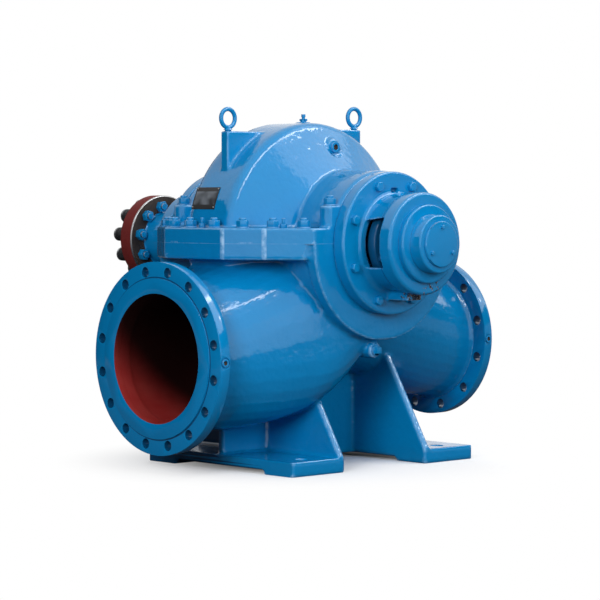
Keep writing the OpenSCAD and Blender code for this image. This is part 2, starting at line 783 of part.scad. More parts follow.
// Pipe plug with a hexagon socket, standing on Z = 0
module socket_plug(d) {
    difference() {
        cylinder(d = d, h = d * 0.22);
        translate([0, 0, d * 0.05]) cylinder(d = d * 0.58, h = d, $fn = 6);
    }
}

module volute_plug() {
    color(paint) on_base() on_flank() socket_plug(plug_d);
}

module nde_drain_plug() {
    color(paint) on_base() at_drain() pipe_plug(plug_d);
}

module de_drain_plug() {
    color(paint) on_base() scale([-1, 1, 1]) at_drain() pipe_plug(plug_d);
}

module suction_gauge_plug() {
    color(paint) on_base() at_suction_gauge() socket_plug(gauge_plug_d);
}

module discharge_gauge_plug() {
    color(paint) on_base() at_discharge_gauge() socket_plug(gauge_plug_d);
}

lower_casing();
upper_casing();
nde_bearing_bracket();
de_bearing_bracket();
nde_bearing_cover();
de_bearing_cover();
nde_cap_plate();
nde_inner_cover();
de_inner_cover();
nde_gland();
de_gland();
shaft();
nde_shaft_sleeve();
de_shaft_sleeve();
coupling_half();
coupling_pins();
coupling_bushes();
coupling_nuts();
suction_eyebolt();
discharge_eyebolt();
vent_cock();
volute_plug();
nde_drain_plug();
de_drain_plug();
suction_gauge_plug();
discharge_gauge_plug();
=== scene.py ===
"""Looks of a horizontal split case pump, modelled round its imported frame.

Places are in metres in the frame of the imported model: X along the shaft to the closed bearing
end, -Y to the suction flange and Z up from the base. Castings are copies of the CAD solids with
softened edges. Machined flanges, fasteners, the plate and every finish are made here.
"""

import logging
import math
from dataclasses import dataclass
from enum import Enum
from typing import Any, Callable, Sequence

import bpy
import numpy as np
from mathutils import Euler, Matrix, Vector


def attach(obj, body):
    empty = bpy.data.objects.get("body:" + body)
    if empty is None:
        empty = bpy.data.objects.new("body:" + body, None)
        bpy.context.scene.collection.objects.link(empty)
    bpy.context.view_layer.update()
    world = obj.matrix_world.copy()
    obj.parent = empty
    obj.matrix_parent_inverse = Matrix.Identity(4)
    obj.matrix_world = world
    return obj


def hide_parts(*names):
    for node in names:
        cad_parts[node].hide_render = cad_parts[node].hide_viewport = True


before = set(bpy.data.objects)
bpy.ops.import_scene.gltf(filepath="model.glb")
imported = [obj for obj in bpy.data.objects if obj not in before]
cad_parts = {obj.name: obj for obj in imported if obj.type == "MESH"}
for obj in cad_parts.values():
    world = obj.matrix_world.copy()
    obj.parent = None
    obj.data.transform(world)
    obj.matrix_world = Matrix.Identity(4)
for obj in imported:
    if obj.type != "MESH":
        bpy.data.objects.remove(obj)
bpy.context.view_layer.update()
LOG = logging.getLogger("split_case_pump")

SHAFT_Y = -0.030
SHAFT_Z = 0.620
BEND = "bend"
MM = 0.001

Point = tuple[float, float, float]
Span = tuple[float, float, float, float]
Piece = bpy.types.Object


class Body(Enum):
    """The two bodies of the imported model."""

    PUMP = "pump"
    ROTOR = "rotor"


class Slot(Enum):
    """The record's material slots."""

    ENAMEL = "blue_enamel"
    PRIMER = "red_primer"
    STEEL = "bare_steel"
    RUBBER = "rubber"


class Side(Enum):
    """The two ends of the pump, as the sign of X."""

    CLOSED = 1
    DRIVE = -1


def linear(code: str) -> tuple[float, float, float, float]:
    """Turns an sRGB hex colour into linear RGBA.

    Args:
        code: six hex digits.

    Returns:
        The linear colour with full alpha.
    """
    parts = [int(code[i : i + 2], 16) / 255 for i in (0, 2, 4)]
    red, green, blue = [c / 12.92 if c <= 0.04045 else ((c + 0.055) / 1.055) ** 2.4 for c in parts]
    return red, green, blue, 1.0


def add_node(tree: bpy.types.NodeTree, kind: str, inputs: dict[Any, Any], **settings: Any) -> bpy.types.Node:
    """Adds a node with its settings and links.

    Args:
        tree: the node tree that takes it.
        kind: the node's type name.
        inputs: sockets by name or number, each with a value or an output socket to link.
        **settings: the node's own properties.

    Returns:
        The new node.
    """
    node = tree.nodes.new(kind)
    for key, value in settings.items():
        setattr(node, key, value)
    for socket, value in inputs.items():
        if isinstance(value, bpy.types.NodeSocket):
            tree.links.new(value, node.inputs[socket])
        else:
            node.inputs[socket].default_value = value
    return node


def new_material(name: str) -> tuple[bpy.types.Material, bpy.types.NodeTree]:
    """Makes an empty node material.

    Args:
        name: the material's name.

    Returns:
        The material and its node tree.
    """
    material = bpy.data.materials.new(name)
    material.use_nodes = True
    material.node_tree.nodes.clear()
    return material, material.node_tree


def cloud(
    tree: bpy.types.NodeTree, place: bpy.types.NodeSocket, size: float, detail: float, span: Span
) -> bpy.types.NodeSocket:
    """Adds a cloudy pattern of a real size.

    Args:
        tree: the material's node tree.
        place: the object coordinates.
        size: how large its patches are, in metres.
        detail: how many finer layers it has.
        span: two levels of the pattern, and the two values that they become.

    Returns:
        The pattern's value.
    """
    noise = add_node(tree, "ShaderNodeTexNoise", {"Vector": place, "Scale": 1 / size, "Detail": detail})
    low, high, least, most = span
    levels = {0: noise.outputs["Fac"], 1: low, 2: high, 3: least, 4: most}
    return add_node(tree, "ShaderNodeMapRange", levels).outputs[0]


@dataclass(frozen=True)
class Finish:
    """A finish, built as one node material."""

    name: str

    def material(self) -> bpy.types.Material:
        """Builds the material.

        Returns:
            The finished material.
        """
        material, tree = new_material(self.name)
        place = add_node(tree, "ShaderNodeTexCoord", {}).outputs["Object"]
        shader = add_node(tree, "ShaderNodeBsdfPrincipled", self.surface(tree, place))
        add_node(tree, "ShaderNodeOutputMaterial", {"Surface": shader.outputs[0]})
        return material

    def surface(self, tree: bpy.types.NodeTree, place: bpy.types.NodeSocket) -> dict[str, Any]:
        """Works out what goes into the shader, and is written for each kind of finish.

        Args:
            tree: the material's node tree.
            place: the object coordinates.

        Returns:
            The shader's inputs.
        """
        raise NotImplementedError


@dataclass(frozen=True)
class Scuff:
    """A place where paint was knocked off, and rust and oil set in."""

    place: Point
    reach: float


@dataclass(frozen=True)
class GlossEnamel(Finish):
    """Alkyd enamel brushed and sprayed over a sand casting.

    The eye sees a deep even blue with sharp highlights on rounded shoulders and a slight waviness
    from the sand mould below. Corners are darker, from dust and painted shade, and edges paler, from
    thin paint and painted highlight.
    """

    colour: str
    hollow: str
    edge: str
    corner_dust_and_shade: str
    roughness: float
    wave_height: float
    edge_wear_and_sheen: float
    corners: tuple[tuple[float, float], ...] = ()
    scuffs: tuple[Scuff, ...] = ()

    def surface(self, tree: bpy.types.NodeTree, place: bpy.types.NodeSocket) -> dict[str, Any]:
        """Works out the paint's colour, gloss and waviness.

        Args:
            tree: the material's node tree.
            place: the object coordinates.

        Returns:
            The shader's inputs.
        """
        span = (0.3, 0.7, self.roughness - 0.05, self.roughness + 0.05)
        return {
            "Base Color": self.scuffed(tree, place, self.aged(tree, place)),
            "Roughness": cloud(tree, place, 0.07, 3.0, span),
            "Normal": self.waves(tree, place),
            "IOR": 1.5,
            "Specular IOR Level": 0.62,
        }

    def aged(self, tree: bpy.types.NodeTree, place: bpy.types.NodeSocket) -> bpy.types.NodeSocket:
        """Adds the paint's colour, paler on outside edges from thin paint and painted highlight, and darker
        in corners from dust and painted shade.

        Args:
            tree: the material's node tree.
            place: the object coordinates.

        Returns:
            The colour.
        """
        bend = add_node(tree, "ShaderNodeAttribute", {}, attribute_name=BEND).outputs["Fac"]
        # Spray passes leave cloudy patches about 160 mm across
        patch = cloud(tree, place, 0.16, 4.0, (0.35, 0.7, 0.0, 0.28))
        # Paler outside edges, broken up: thin paint and wear, with a painted highlight along them
        broken = cloud(tree, place, 0.018, 3.0, (0.36, 0.62, 0.25, 1.0))
        worn_and_sheen = add_node(tree, "ShaderNodeMapRange", {0: bend, 1: 0.14, 2: 0.4, 3: 0.0, 4: self.edge_wear_and_sheen})
        bare = self.worn_and_sheen_corners(tree, place, worn_and_sheen.outputs[0])
        share = add_node(tree, "ShaderNodeMath", {0: bare, 1: broken}, operation="MULTIPLY")
        # Darker inside corners: thick paint and dust, with painted shade
        sunk = add_node(tree, "ShaderNodeMapRange", {0: bend, 1: -0.08, 2: -0.35, 3: 0.0, 4: 0.55})
        colour = linear(self.colour)
        layers = ((patch, self.hollow), (share.outputs[0], self.edge), (sunk.outputs[0], self.corner_dust_and_shade))
        for amount, code in layers:
            inputs = {0: amount, 6: colour, 7: linear(code)}
            colour = add_node(tree, "ShaderNodeMix", inputs, data_type="RGBA").outputs[2]
        return colour

    def worn_and_sheen_corners(
        self, tree: bpy.types.NodeTree, place: bpy.types.NodeSocket, worn_and_sheen: bpy.types.NodeSocket
    ) -> bpy.types.NodeSocket:
        """Adds pale stripes about 12 mm wide along the split flange's upright corners: rubbed paint and
        painted highlight.

        Args:
            tree: the material's node tree.
            place: the object coordinates.
            worn_and_sheen: the paling of the other edges, from thin paint, wear and painted highlight.

        Returns:
            The greater paling.
        """
        flat = add_node(tree, "ShaderNodeVectorMath", {0: place, 1: (1.0, 1.0, 0.0)}, operation="MULTIPLY")
        height = add_node(tree, "ShaderNodeSeparateXYZ", {0: place}).outputs["Z"]
        above = add_node(tree, "ShaderNodeMath", {0: height, 1: 0.574}, operation="GREATER_THAN").outputs[0]
        # A pale stripe at each upright corner: rubbed paint and painted highlight
        for x, y in self.corners:
            spot = {0: flat.outputs[0], 1: (x, y, 0.0)}
            away = add_node(tree, "ShaderNodeVectorMath", spot, operation="DISTANCE").outputs["Value"]
            near = add_node(tree, "ShaderNodeMapRange", {0: away, 1: 0.0045, 2: 0.0085, 3: 0.75, 4: 0.0})
            stripe = add_node(tree, "ShaderNodeMath", {0: near.outputs[0], 1: above}, operation="MULTIPLY")
            both = {0: worn_and_sheen, 1: stripe.outputs[0]}
            worn_and_sheen = add_node(tree, "ShaderNodeMath", both, operation="MAXIMUM").outputs[0]
        return worn_and_sheen

    def scuffed(
        self, tree: bpy.types.NodeTree, place: bpy.types.NodeSocket, colour: bpy.types.NodeSocket
    ) -> bpy.types.NodeSocket:
        """Adds ragged marks of rust, oil and bare metal about 8 mm across at each scuff.

        Args:
            tree: the material's node tree.
            place: the object coordinates.
            colour: the paint's colour.

        Returns:
            The colour with its marks.
        """
        for scuff in self.scuffs:
            inputs = {"Vector": place, "Scale": 1 / 0.008, "Detail": 4.0}
            ragged = add_node(tree, "ShaderNodeTexNoise", inputs)
            spot = {0: place, 1: scuff.place}
            away = add_node(tree, "ShaderNodeVectorMath", spot, operation="DISTANCE").outputs["Value"]
            levels = {0: away, 1: 0.0, 2: scuff.reach, 3: 0.5, 4: -0.12}
            near = add_node(tree, "ShaderNodeMapRange", levels).outputs[0]
            total = add_node(tree, "ShaderNodeMath", {0: near, 1: ragged.outputs["Fac"]}, operation="ADD")
            levels = {0: total.outputs[0], 1: 0.62, 2: 0.74, 3: 0.0, 4: 0.9}
            mark = add_node(tree, "ShaderNodeMapRange", levels)
            pale = cloud(tree, place, 0.005, 2.0, (0.5, 0.62, 0.0, 1.0))
            inputs = {0: pale, 6: linear("241c18"), 7: linear("8d8176")}
            tone = add_node(tree, "ShaderNodeMix", inputs, data_type="RGBA").outputs[2]
            inputs = {0: mark.outputs[0], 6: colour, 7: tone}
            colour = add_node(tree, "ShaderNodeMix", inputs, data_type="RGBA").outputs[2]
        return colour

    def waves(self, tree: bpy.types.NodeTree, place: bpy.types.NodeSocket) -> bpy.types.NodeSocket:
        """Adds the mould's waviness of 45 and 18 mm, and peel of 3 mm drawn at 9 mm so that it shows.

        Args:
            tree: the material's node tree.
            place: the object coordinates.

        Returns:
            The bumped normal.
        """
        wave = add_node(tree, "ShaderNodeTexNoise", {"Vector": place, "Scale": 1 / 0.045, "Detail": 2.0})
        height = wave.outputs["Fac"]
        for size, part in ((0.018, 0.45), (0.009, 0.06)):
            fine = add_node(tree, "ShaderNodeTexNoise", {"Vector": place, "Scale": 1 / size, "Detail": 2.0})
            inputs = {0: fine.outputs["Fac"], 1: part, 2: height}
            height = add_node(tree, "ShaderNodeMath", inputs, operation="MULTIPLY_ADD").outputs[0]
        inputs = {"Strength": 0.5, "Distance": self.wave_height, "Height": height}
        return add_node(tree, "ShaderNodeBump", inputs).outputs[0]


@dataclass(frozen=True)
class TwoTone(Finish):
    """A finish of one colour with patches of another."""

    colour: str
    patches: str

    def tone(
        self, tree: bpy.types.NodeTree, place: bpy.types.NodeSocket, size: float, detail: float, span: Span
    ) -> bpy.types.NodeSocket:
        """Adds the colour with its patches.

        Args:
            tree: the material's node tree.
            place: the object coordinates.
            size: how large the patches are, in metres.
            detail: how many finer layers they have.
            span: two levels of the pattern, and the patches' share at each.

        Returns:
            The colour.
        """
        share = cloud(tree, place, size, detail, span)
        inputs = {0: share, 6: linear(self.colour), 7: linear(self.patches)}
        return add_node(tree, "ShaderNodeMix", inputs, data_type="RGBA").outputs[2]


@dataclass(frozen=True)
class OxidePrimer(TwoTone):
    """Red oxide primer, flat and slightly dusty, as brushed on bare castings before the top coat.

    Painted shade darkens it from one distance along Y to another, for the dark deep in a bore. The
    slant brings the painted shade nearer to the mouth for each metre of height, as the roof of a bore
    lies in shade.
    """

    dark: str
    fade_from: float
    fade_to: float
    slant: float = 0.0

    def surface(self, tree: bpy.types.NodeTree, place: bpy.types.NodeSocket) -> dict[str, Any]:
        """Works out the colour with its painted shade, and the brush marks.

        Args:
            tree: the material's node tree.
            place: the object coordinates.

        Returns:
            The shader's inputs.
        """
        # Painted shade deeper in the bore and higher up
        inputs = {0: place, 1: (0.0, 1.0, self.slant)}
        along = add_node(tree, "ShaderNodeVectorMath", inputs, operation="DOT_PRODUCT").outputs["Value"]
        levels = {0: along, 1: self.fade_from, 2: self.fade_to, 3: 0.0, 4: 0.97}
        depth = add_node(tree, "ShaderNodeMapRange", levels, interpolation_type="SMOOTHSTEP").outputs[0]
        tone = self.tone(tree, place, 0.05, 5.0, (0.3, 0.72, 0.0, 0.6))
        sunk = add_node(tree, "ShaderNodeMix", {0: depth, 6: tone, 7: linear(self.dark)}, data_type="RGBA")
        # Brush marks and cast skin of about 6 mm
        skin = add_node(tree, "ShaderNodeTexNoise", {"Vector": place, "Scale": 1 / 0.006, "Detail": 3.0})
        inputs = {"Strength": 0.5, "Distance": 0.0006, "Height": skin.outputs["Fac"]}
        return {
            "Base Color": sunk.outputs[2],
            "Roughness": 0.68,
            "IOR": 1.5,
            "Specular IOR Level": 0.25,
            "Normal": add_node(tree, "ShaderNodeBump", inputs).outputs[0],
        }


@dataclass(frozen=True)
class TurnedSteel(TwoTone):
    """Carbon steel straight from the lathe, oiled, with fine rings round the shaft and a little tarnish."""

    def surface(self, tree: bpy.types.NodeTree, place: bpy.types.NodeSocket) -> dict[str, Any]:
        """Works out the tarnished colour and the tool rings.

        Args:
            tree: the material's node tree.
            place: the object coordinates.

        Returns:
            The shader's inputs.
        """
        # Tool rings along the shaft, far coarser than a real 0.3 mm feed so that they show
        inputs = {"Vector": place, "Scale": 1 / 0.012, "Distortion": 0.6}
        rings = add_node(tree, "ShaderNodeTexWave", inputs, wave_type="BANDS", bands_direction="X")
        inputs = {"Strength": 0.25, "Distance": 0.0002, "Height": rings.outputs["Fac"]}
        return {
            "Base Color": self.tone(tree, place, 0.02, 5.0, (0.5, 0.75, 0.0, 0.7)),
            "Metallic": 1.0,
            "Roughness": 0.34,
            "Normal": add_node(tree, "ShaderNodeBump", inputs).outputs[0],
        }


@dataclass(frozen=True)
class MouldedRubber(TwoTone):
    """Black nitrile rubber, matt with a dusty bloom from the mould."""

    def surface(self, tree: bpy.types.NodeTree, place: bpy.types.NodeSocket) -> dict[str, Any]:
        """Works out the dusty colour and a slight roughness of 15 mm.

        Args:
            tree: the material's node tree.
            place: the object coordinates.

        Returns:
            The shader's inputs.
        """
        dust = add_node(tree, "ShaderNodeTexNoise", {"Vector": place, "Scale": 1 / 0.015, "Detail": 4.0})
        inputs = {"Strength": 0.3, "Distance": 0.0003, "Height": dust.outputs["Fac"]}
        return {
            "Base Color": self.tone(tree, place, 0.015, 4.0, (0.4, 0.75, 0.0, 0.6)),
            "Roughness": 0.62,
            "Specular IOR Level": 0.4,
            "Normal": add_node(tree, "ShaderNodeBump", inputs).outputs[0],
        }


@dataclass(frozen=True)
class PrintedPlate(TwoTone):
    """Thin aluminium plate, printed or left bare, dulled by weather with smears about 30 mm across."""

    metallic: float

    def surface(self, tree: bpy.types.NodeTree, place: bpy.types.NodeSocket) -> dict[str, Any]:
        """Works out the smeared colour.

        Args:
            tree: the material's node tree.
            place: the object coordinates.

        Returns:
            The shader's inputs.
        """
        tone = self.tone(tree, place, 0.030, 1.0, (0.35, 0.75, 0.0, 1.0))
        return {"Base Color": tone, "Metallic": self.metallic, "Roughness": 0.45}


@dataclass
class Palette:
    """The finishes of the whole pump, built once."""

    enamel: bpy.types.Material
    smooth_enamel: bpy.types.Material
    bracket_enamel: bpy.types.Material
    shade_and_oil_enamel: bpy.types.Material
    suction_primer: bpy.types.Material
    discharge_primer: bpy.types.Material
    coupling_primer: bpy.types.Material
    grime_and_shade_iron: bpy.types.Material
    steel: bpy.types.Material
    rubber: bpy.types.Material
    plate_print: bpy.types.Material
    plate_field: bpy.types.Material

    @classmethod
    def mixed(cls) -> "Palette":
        """Mixes every finish of the pump.

        Returns:
            The built materials.
        """
        # The blue set: paint, cloudy patches, paler edges from thin paint and painted highlight, and darker
        # corners from dust and painted shade
        blue = ("047eb8", "0372ab", "a9d0ee", "05385c")
        # The oily set is a darker enamel, for painted shade in holes, the bracket windows and low down, with
        # oil in places
        oily = ("0a4d77", "063a5c", "2f6f9c", "031a2b")
        # The primers' last colour is the painted shade deep in each bore
        inlet = ("942624", "a03c37", "0a0606")
        outlet = ("7a2420", "8b3a34", "0a0505")
        coupling = ("66201f", "722b28", "4f1817")
        grimy = ("2a2524", "4a4038", "1c1817")
        corners = ((0.118, -0.442), (0.220, -0.3825), (0.304, -0.279))
        knocks = (Scuff((0.437, -0.016, 0.478), 0.07), Scuff((0.435, 0.017, 0.488), 0.07))
        finishes = {
            "enamel": GlossEnamel("cast_iron_blue_enamel", *blue, 0.10, 0.0034, 0.6, corners),
            "smooth_enamel": GlossEnamel("machined_blue_enamel", *blue, 0.10, 0.0006, 0.45),
            "bracket_enamel": GlossEnamel("bracket_blue_enamel", *blue, 0.10, 0.0016, 0.6, (), knocks),
            "shade_and_oil_enamel": GlossEnamel("shade_and_oil_blue_enamel", *oily, 0.22, 0.0006, 0.2),
            "suction_primer": OxidePrimer("suction_red_oxide", *inlet, -0.29, -0.06, 1.2),
            "discharge_primer": OxidePrimer("discharge_red_oxide", *outlet, 0.44, 0.2),
            "coupling_primer": OxidePrimer("coupling_red_oxide", *coupling, 3.0, 4.0),
            "grime_and_shade_iron": OxidePrimer("grime_and_shade_iron", *grimy, 3.0, 4.0),
            "steel": TurnedSteel("turned_carbon_steel", "a9abad", "6d6259"),
            "rubber": MouldedRubber("black_nitrile_rubber", "17181a", "3a3b3d"),
            "plate_print": PrintedPlate("black_printed_plate", "08090b", "17191d", 0.0),
            "plate_field": PrintedPlate("bare_plate_field", "16191e", "737a82", 0.2),
        }
        return cls(**{field: finish.material() for field, finish in finishes.items()})


def select_only(piece: Piece) -> None:
    """Leaves one piece selected and active, in object mode.

    Args:
        piece: the piece that the next operators act on.
    """
    if bpy.context.object is not None and bpy.context.object.mode != "OBJECT":
        bpy.ops.object.mode_set(mode="OBJECT")
    bpy.ops.object.select_all(action="DESELECT")
    piece.hide_set(False)
    piece.select_set(True)
    bpy.context.view_layer.objects.active = piece


def edit_all(piece: Piece) -> None:
    """Enters edit mode with the whole piece selected.

    Args:
        piece: the piece to edit.
    """
    select_only(piece)
    bpy.ops.object.mode_set(mode="EDIT")
    bpy.ops.mesh.select_all(action="SELECT")


def pick_faces(piece: Piece, test: Callable[[Vector, Vector], bool]) -> None:
    """Enters edit mode with the faces selected whose centre and normal pass a test.

    Args:
        piece: the piece to edit.
        test: takes a face's centre and normal.
    """
    select_only(piece)
    bpy.ops.object.mode_set(mode="EDIT")
    bpy.ops.mesh.select_mode(type="FACE")
    bpy.ops.mesh.select_all(action="DESELECT")
    bpy.ops.object.mode_set(mode="OBJECT")
    for polygon in piece.data.polygons:
        polygon.select = test(polygon.center, polygon.normal)
    bpy.ops.object.mode_set(mode="EDIT")


def to_object_mode() -> None:
    """Ends editing of the active piece."""
    bpy.ops.object.mode_set(mode="OBJECT")


def apply_modifier(piece: Piece, kind: str, **settings: Any) -> None:
    """Adds a modifier with its settings and applies it.

    Args:
        piece: the piece that takes it.
        kind: the modifier's type name.
        **settings: the modifier's own properties.
    """
    select_only(piece)
    modifier = piece.modifiers.new(kind.lower(), kind)
    for key, value in settings.items():
        setattr(modifier, key, value)
    bpy.ops.object.modifier_apply(modifier=modifier.name)


def settle(piece: Piece) -> None:
    """Moves a piece's place, turn and scale into its mesh.

    Args:
        piece: the piece to settle.
    """
    select_only(piece)
    bpy.ops.object.transform_apply(location=True, rotation=True, scale=True)


def shade(piece: Piece, degrees: float) -> None:
    """Shades a piece smooth, with edges sharper than an angle left crisp.

    Args:
        piece: the piece to shade.
        degrees: the angle.
    """
    select_only(piece)
    bpy.ops.object.shade_smooth_by_angle(angle=math.radians(degrees))


def joined(pieces: Sequence[Piece], name: str) -> Piece:
    """Joins pieces into one.

    Args:
        pieces: the pieces, of which the first takes the rest.
        name: the joined piece's name.

    Returns:
        The joined piece.
    """
    select_only(pieces[0])
    for piece in pieces[1:]:
        piece.select_set(True)
    if len(pieces) > 1:
        bpy.ops.object.join()
    pieces[0].name = name
    pieces[0].data.name = name
    return pieces[0]


def cylinder(name: str, radius: float, start: Point, end: Point, sides: int = 48) -> Piece:
    """Adds a round bar between two points, settled.

    Args:
        name: the piece's name.
        radius: its radius.
        start: the centre of its first end.
        end: the centre of its other end.
        sides: how many sides it has.

    Returns:
        The new piece.
    """
    bpy.ops.object.select_all(action="DESELECT")
    along = Vector(end) - Vector(start)
    bpy.ops.mesh.primitive_cylinder_add(vertices=sides, radius=radius, depth=along.length)
    piece = bpy.context.object
    piece.name = name
    turn = along.to_track_quat("Z", "Y").to_matrix().to_4x4()
    piece.matrix_world = Matrix.Translation((Vector(start) + Vector(end)) / 2) @ turn
    settle(piece)
    return piece


def copied(piece: Piece, place: Matrix) -> Piece:
    """Copies a piece with its own mesh and moves the copy's mesh.

    Args:
        piece: the pattern.
        place: where the copy goes.

    Returns:
        The copy.
    """
    twin = piece.copy()
    twin.data = piece.data.copy()
    twin.data.transform(place)
    bpy.context.scene.collection.objects.link(twin)
    return twin


def repeated(pattern: Piece, places: Sequence[Matrix], name: str) -> Piece:
    """Sets copies of a pattern at several places, as one piece, and removes the pattern.

    Args:
        pattern: the piece modelled once at the origin.
        places: where each copy goes.
        name: the joined piece's name.

    Returns:
        The joined copies.
    """
    copies = [copied(pattern, place) for place in places]
    bpy.data.objects.remove(pattern)
    return joined(copies, name)


def copy_of_node(node: str, name: str) -> Piece:
    """Copies a CAD node's mesh into a new piece and merges its loose triangles.

    Args:
        node: the CAD node.
        name: the new piece's name.

    Returns:
        The copy, welded.
    """
    piece = bpy.data.objects.new(name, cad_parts[node].data.copy())
    piece.data.materials.clear()
    bpy.context.scene.collection.objects.link(piece)
    select_only(piece)
    bpy.ops.mesh.customdata_custom_splitnormals_clear()
    edit_all(piece)
    bpy.ops.mesh.remove_doubles(threshold=0.01 * MM)
    to_object_mode()
    return piece


def cut(piece: Piece, cutters: Sequence[Piece]) -> None:
    """Cuts pieces out of a piece and removes them.

    Args:
        piece: the piece that is cut.
        cutters: the closed pieces to take away.
    """
    cutter = joined(cutters, "cutter")
    apply_modifier(piece, "BOOLEAN", operation="DIFFERENCE", object=cutter, solver="EXACT", use_self=True)
    bpy.data.objects.remove(cutter)


def gathered(items: Any, name: str, width: int = 1, kind: type = float) -> np.ndarray:
    """Reads one property of all of a mesh's vertices, edges, loops or faces.

    Args:
        items: the mesh's collection.
        name: the property.
        width: how many numbers each item has.
        kind: the numbers' type.

    Returns:
        The numbers, with a row for each item.
    """
    values = np.empty(width * len(items), dtype=kind)
    items.foreach_get(name, values)
    return values.reshape(-1, width) if width > 1 else values


def bends(piece: Piece) -> np.ndarray:
    """Measures how a mesh bends at each vertex, by how its normals spread along its edges.

    Args:
        piece: the piece.

    Returns:
        One number for each vertex, above 0 on outside edges and below 0 in inside corners.
    """
    mesh = piece.data
    count = len(mesh.vertices)
    places = gathered(mesh.vertices, "co", 3)
    normals = gathered(mesh.vertex_normals, "vector", 3)
    first, second = gathered(mesh.edges, "vertices", 2, int).T
    along = places[second] - places[first]
    length = np.maximum(np.linalg.norm(along, axis=1), 1e-7)
    spread = np.einsum("ij,ij->i", normals[second] - normals[first], along) / length
    total = np.bincount(first, spread, count) + np.bincount(second, spread, count)
    used = np.bincount(first, minlength=count) + np.bincount(second, minlength=count)
    return total / np.maximum(used, 1)


def keep_bends(piece: Piece, narrow: float) -> None:
    """Stores on each narrow face how its corners bend, for the paint. Wide faces are flat and keep 0.

    Args:
        piece: the finished mesh.
        narrow: the widest face that counts as part of an edge.
    """
    mesh = piece.data
    values = bends(piece)
    starts = gathered(mesh.polygons, "loop_start", kind=int)
    areas = gathered(mesh.polygons, "area")
    corners = gathered(mesh.loops, "vertex_index", kind=int)
    sides = gathered(mesh.loops, "edge_index", kind=int)
    places = gathered(mesh.vertices, "co", 3)
    normals = gathered(mesh.vertex_normals, "vector", 3)
    first, second = gathered(mesh.edges, "vertices", 2, int).T
    lengths = np.linalg.norm(places[second] - places[first], axis=1)
    longest = np.maximum.reduceat(lengths[sides], starts)
    totals = np.diff(np.append(starts, len(mesh.loops)))
    mean = np.add.reduceat(values[corners], starts) / totals
    width = areas / np.maximum(longest, 1e-7)
    share = np.clip(2.0 - width / narrow, 0.0, 1.0)
    # A long face that spans from one edge to another is flat too, though it is thin
    turned = np.linalg.norm(normals[second] - normals[first], axis=1) * (lengths > 2.5 * narrow)
    share *= np.clip(1.6 - np.maximum.reduceat(turned[sides], starts) / 0.2, 0.0, 1.0)
    layer = mesh.attributes.new(BEND, "FLOAT", "FACE")
    layer.data.foreach_set("value", mean * share)


def fillet_corners(piece: Piece, rings: int, rounds: int) -> None:
    """Fills a casting's inside corners with fillets, by smoothing only near them.

    Args:
        piece: the remeshed casting.
        rings: how many rows of faces the fillet takes on each side of a corner.
        rounds: how many smoothing rounds.
    """
    sunk = bends(piece) < -0.22
    first, second = gathered(piece.data.edges, "vertices", 2, int).T
    for _ in range(rings):
        wider = sunk.copy()
        wider[first] |= sunk[second]
        wider[second] |= sunk[first]
        sunk = wider
    group = piece.vertex_groups.new(name="corners")
    group.add([int(i) for i in np.flatnonzero(sunk)], 1.0, "REPLACE")
    apply_modifier(piece, "SMOOTH", factor=0.5, iterations=rounds, vertex_group="corners")
    piece.vertex_groups.clear()


def cast_edges(piece: Piece, voxel: float, rounds: int, fillet: int, most: int) -> None:
    """Softens a piece as a sand casting's edges and corners are, by remeshing and smoothing it.

    Args:
        piece: the closed piece.
        voxel: the remesh size.
        rounds: how many smoothing rounds.
        fillet: how many rows of faces the inside fillets take on each side.
        most: the most triangles that it may have.
    """
    apply_modifier(piece, "REMESH", mode="VOXEL", voxel_size=voxel, use_smooth_shade=True)
    apply_modifier(piece, "SMOOTH", factor=0.5, iterations=rounds)
    if fillet:
        fillet_corners(piece, fillet, 6 * fillet)
    faces = 2 * len(piece.data.polygons)
    if faces > most:
        apply_modifier(piece, "DECIMATE", ratio=most / faces)


def extend_at_split(piece: Piece, up: int) -> None:
    """Extends a casing half past the split plane, so that softening leaves its joint edge crisp.

    Args:
        piece: the casing half.
        up: 1 to extend upwards, -1 downwards.
    """
    pick_faces(piece, lambda centre, normal: abs(centre.z - SHAFT_Z) < 0.0005 and normal.z * up > 0.9)
    bpy.ops.mesh.extrude_region_move(TRANSFORM_OT_translate={"value": (0, 0, up * 0.025)})
    to_object_mode()


def trim_at_split(piece: Piece, up: int) -> None:
    """Cuts a softened casing half back at the split plane and closes it there.

    Args:
        piece: the casing half.
        up: 1 to remove what is above the plane, -1 what is below.
    """
    edit_all(piece)
    bpy.ops.mesh.bisect(plane_co=(0, 0, SHAFT_Z), plane_no=(0, 0, up), clear_outer=True, use_fill=True)
    to_object_mode()


def machined_edges(piece: Piece, width: float) -> None:
    """Breaks a turned piece's sharp edges with a small bevel.

    Args:
        piece: the welded piece.
        width: the bevel's width.
    """
    edit_all(piece)
    bpy.ops.mesh.dissolve_limited(angle_limit=math.radians(1.0))
    to_object_mode()
    corner = math.radians(32)
    apply_modifier(piece, "BEVEL", width=width, segments=2, limit_method="ANGLE", angle_limit=corner)
    shade(piece, 34)


def dress(piece: Piece, finish: bpy.types.Material, body: Body) -> Piece:
    """Gives a piece its finish and body.

    Args:
        piece: the finished piece.
        finish: its material.
        body: the body that it rides on.

    Returns:
        The same piece.
    """
    if not piece.data.materials:
        piece.data.materials.append(finish)
    if BEND not in piece.data.attributes:
        keep_bends(piece, 0.0018)
    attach(piece, body.value)
    LOG.info("piece %s: %d faces on %s", piece.name, len(piece.data.polygons), body.value)
    return piece


def coat(piece: Piece, finishes: Sequence[bpy.types.Material], pick: Callable[[Vector, Vector], int]) -> None:
    """Gives a piece several finishes, face by face.

    Args:
        piece: the finished mesh.
        finishes: its materials in order.
        pick: takes a face's centre and normal, and gives the number of its material.
    """
    for finish in finishes:
        piece.data.materials.append(finish)
    for polygon in piece.data.polygons:
        polygon.material_index = pick(polygon.center, polygon.normal)


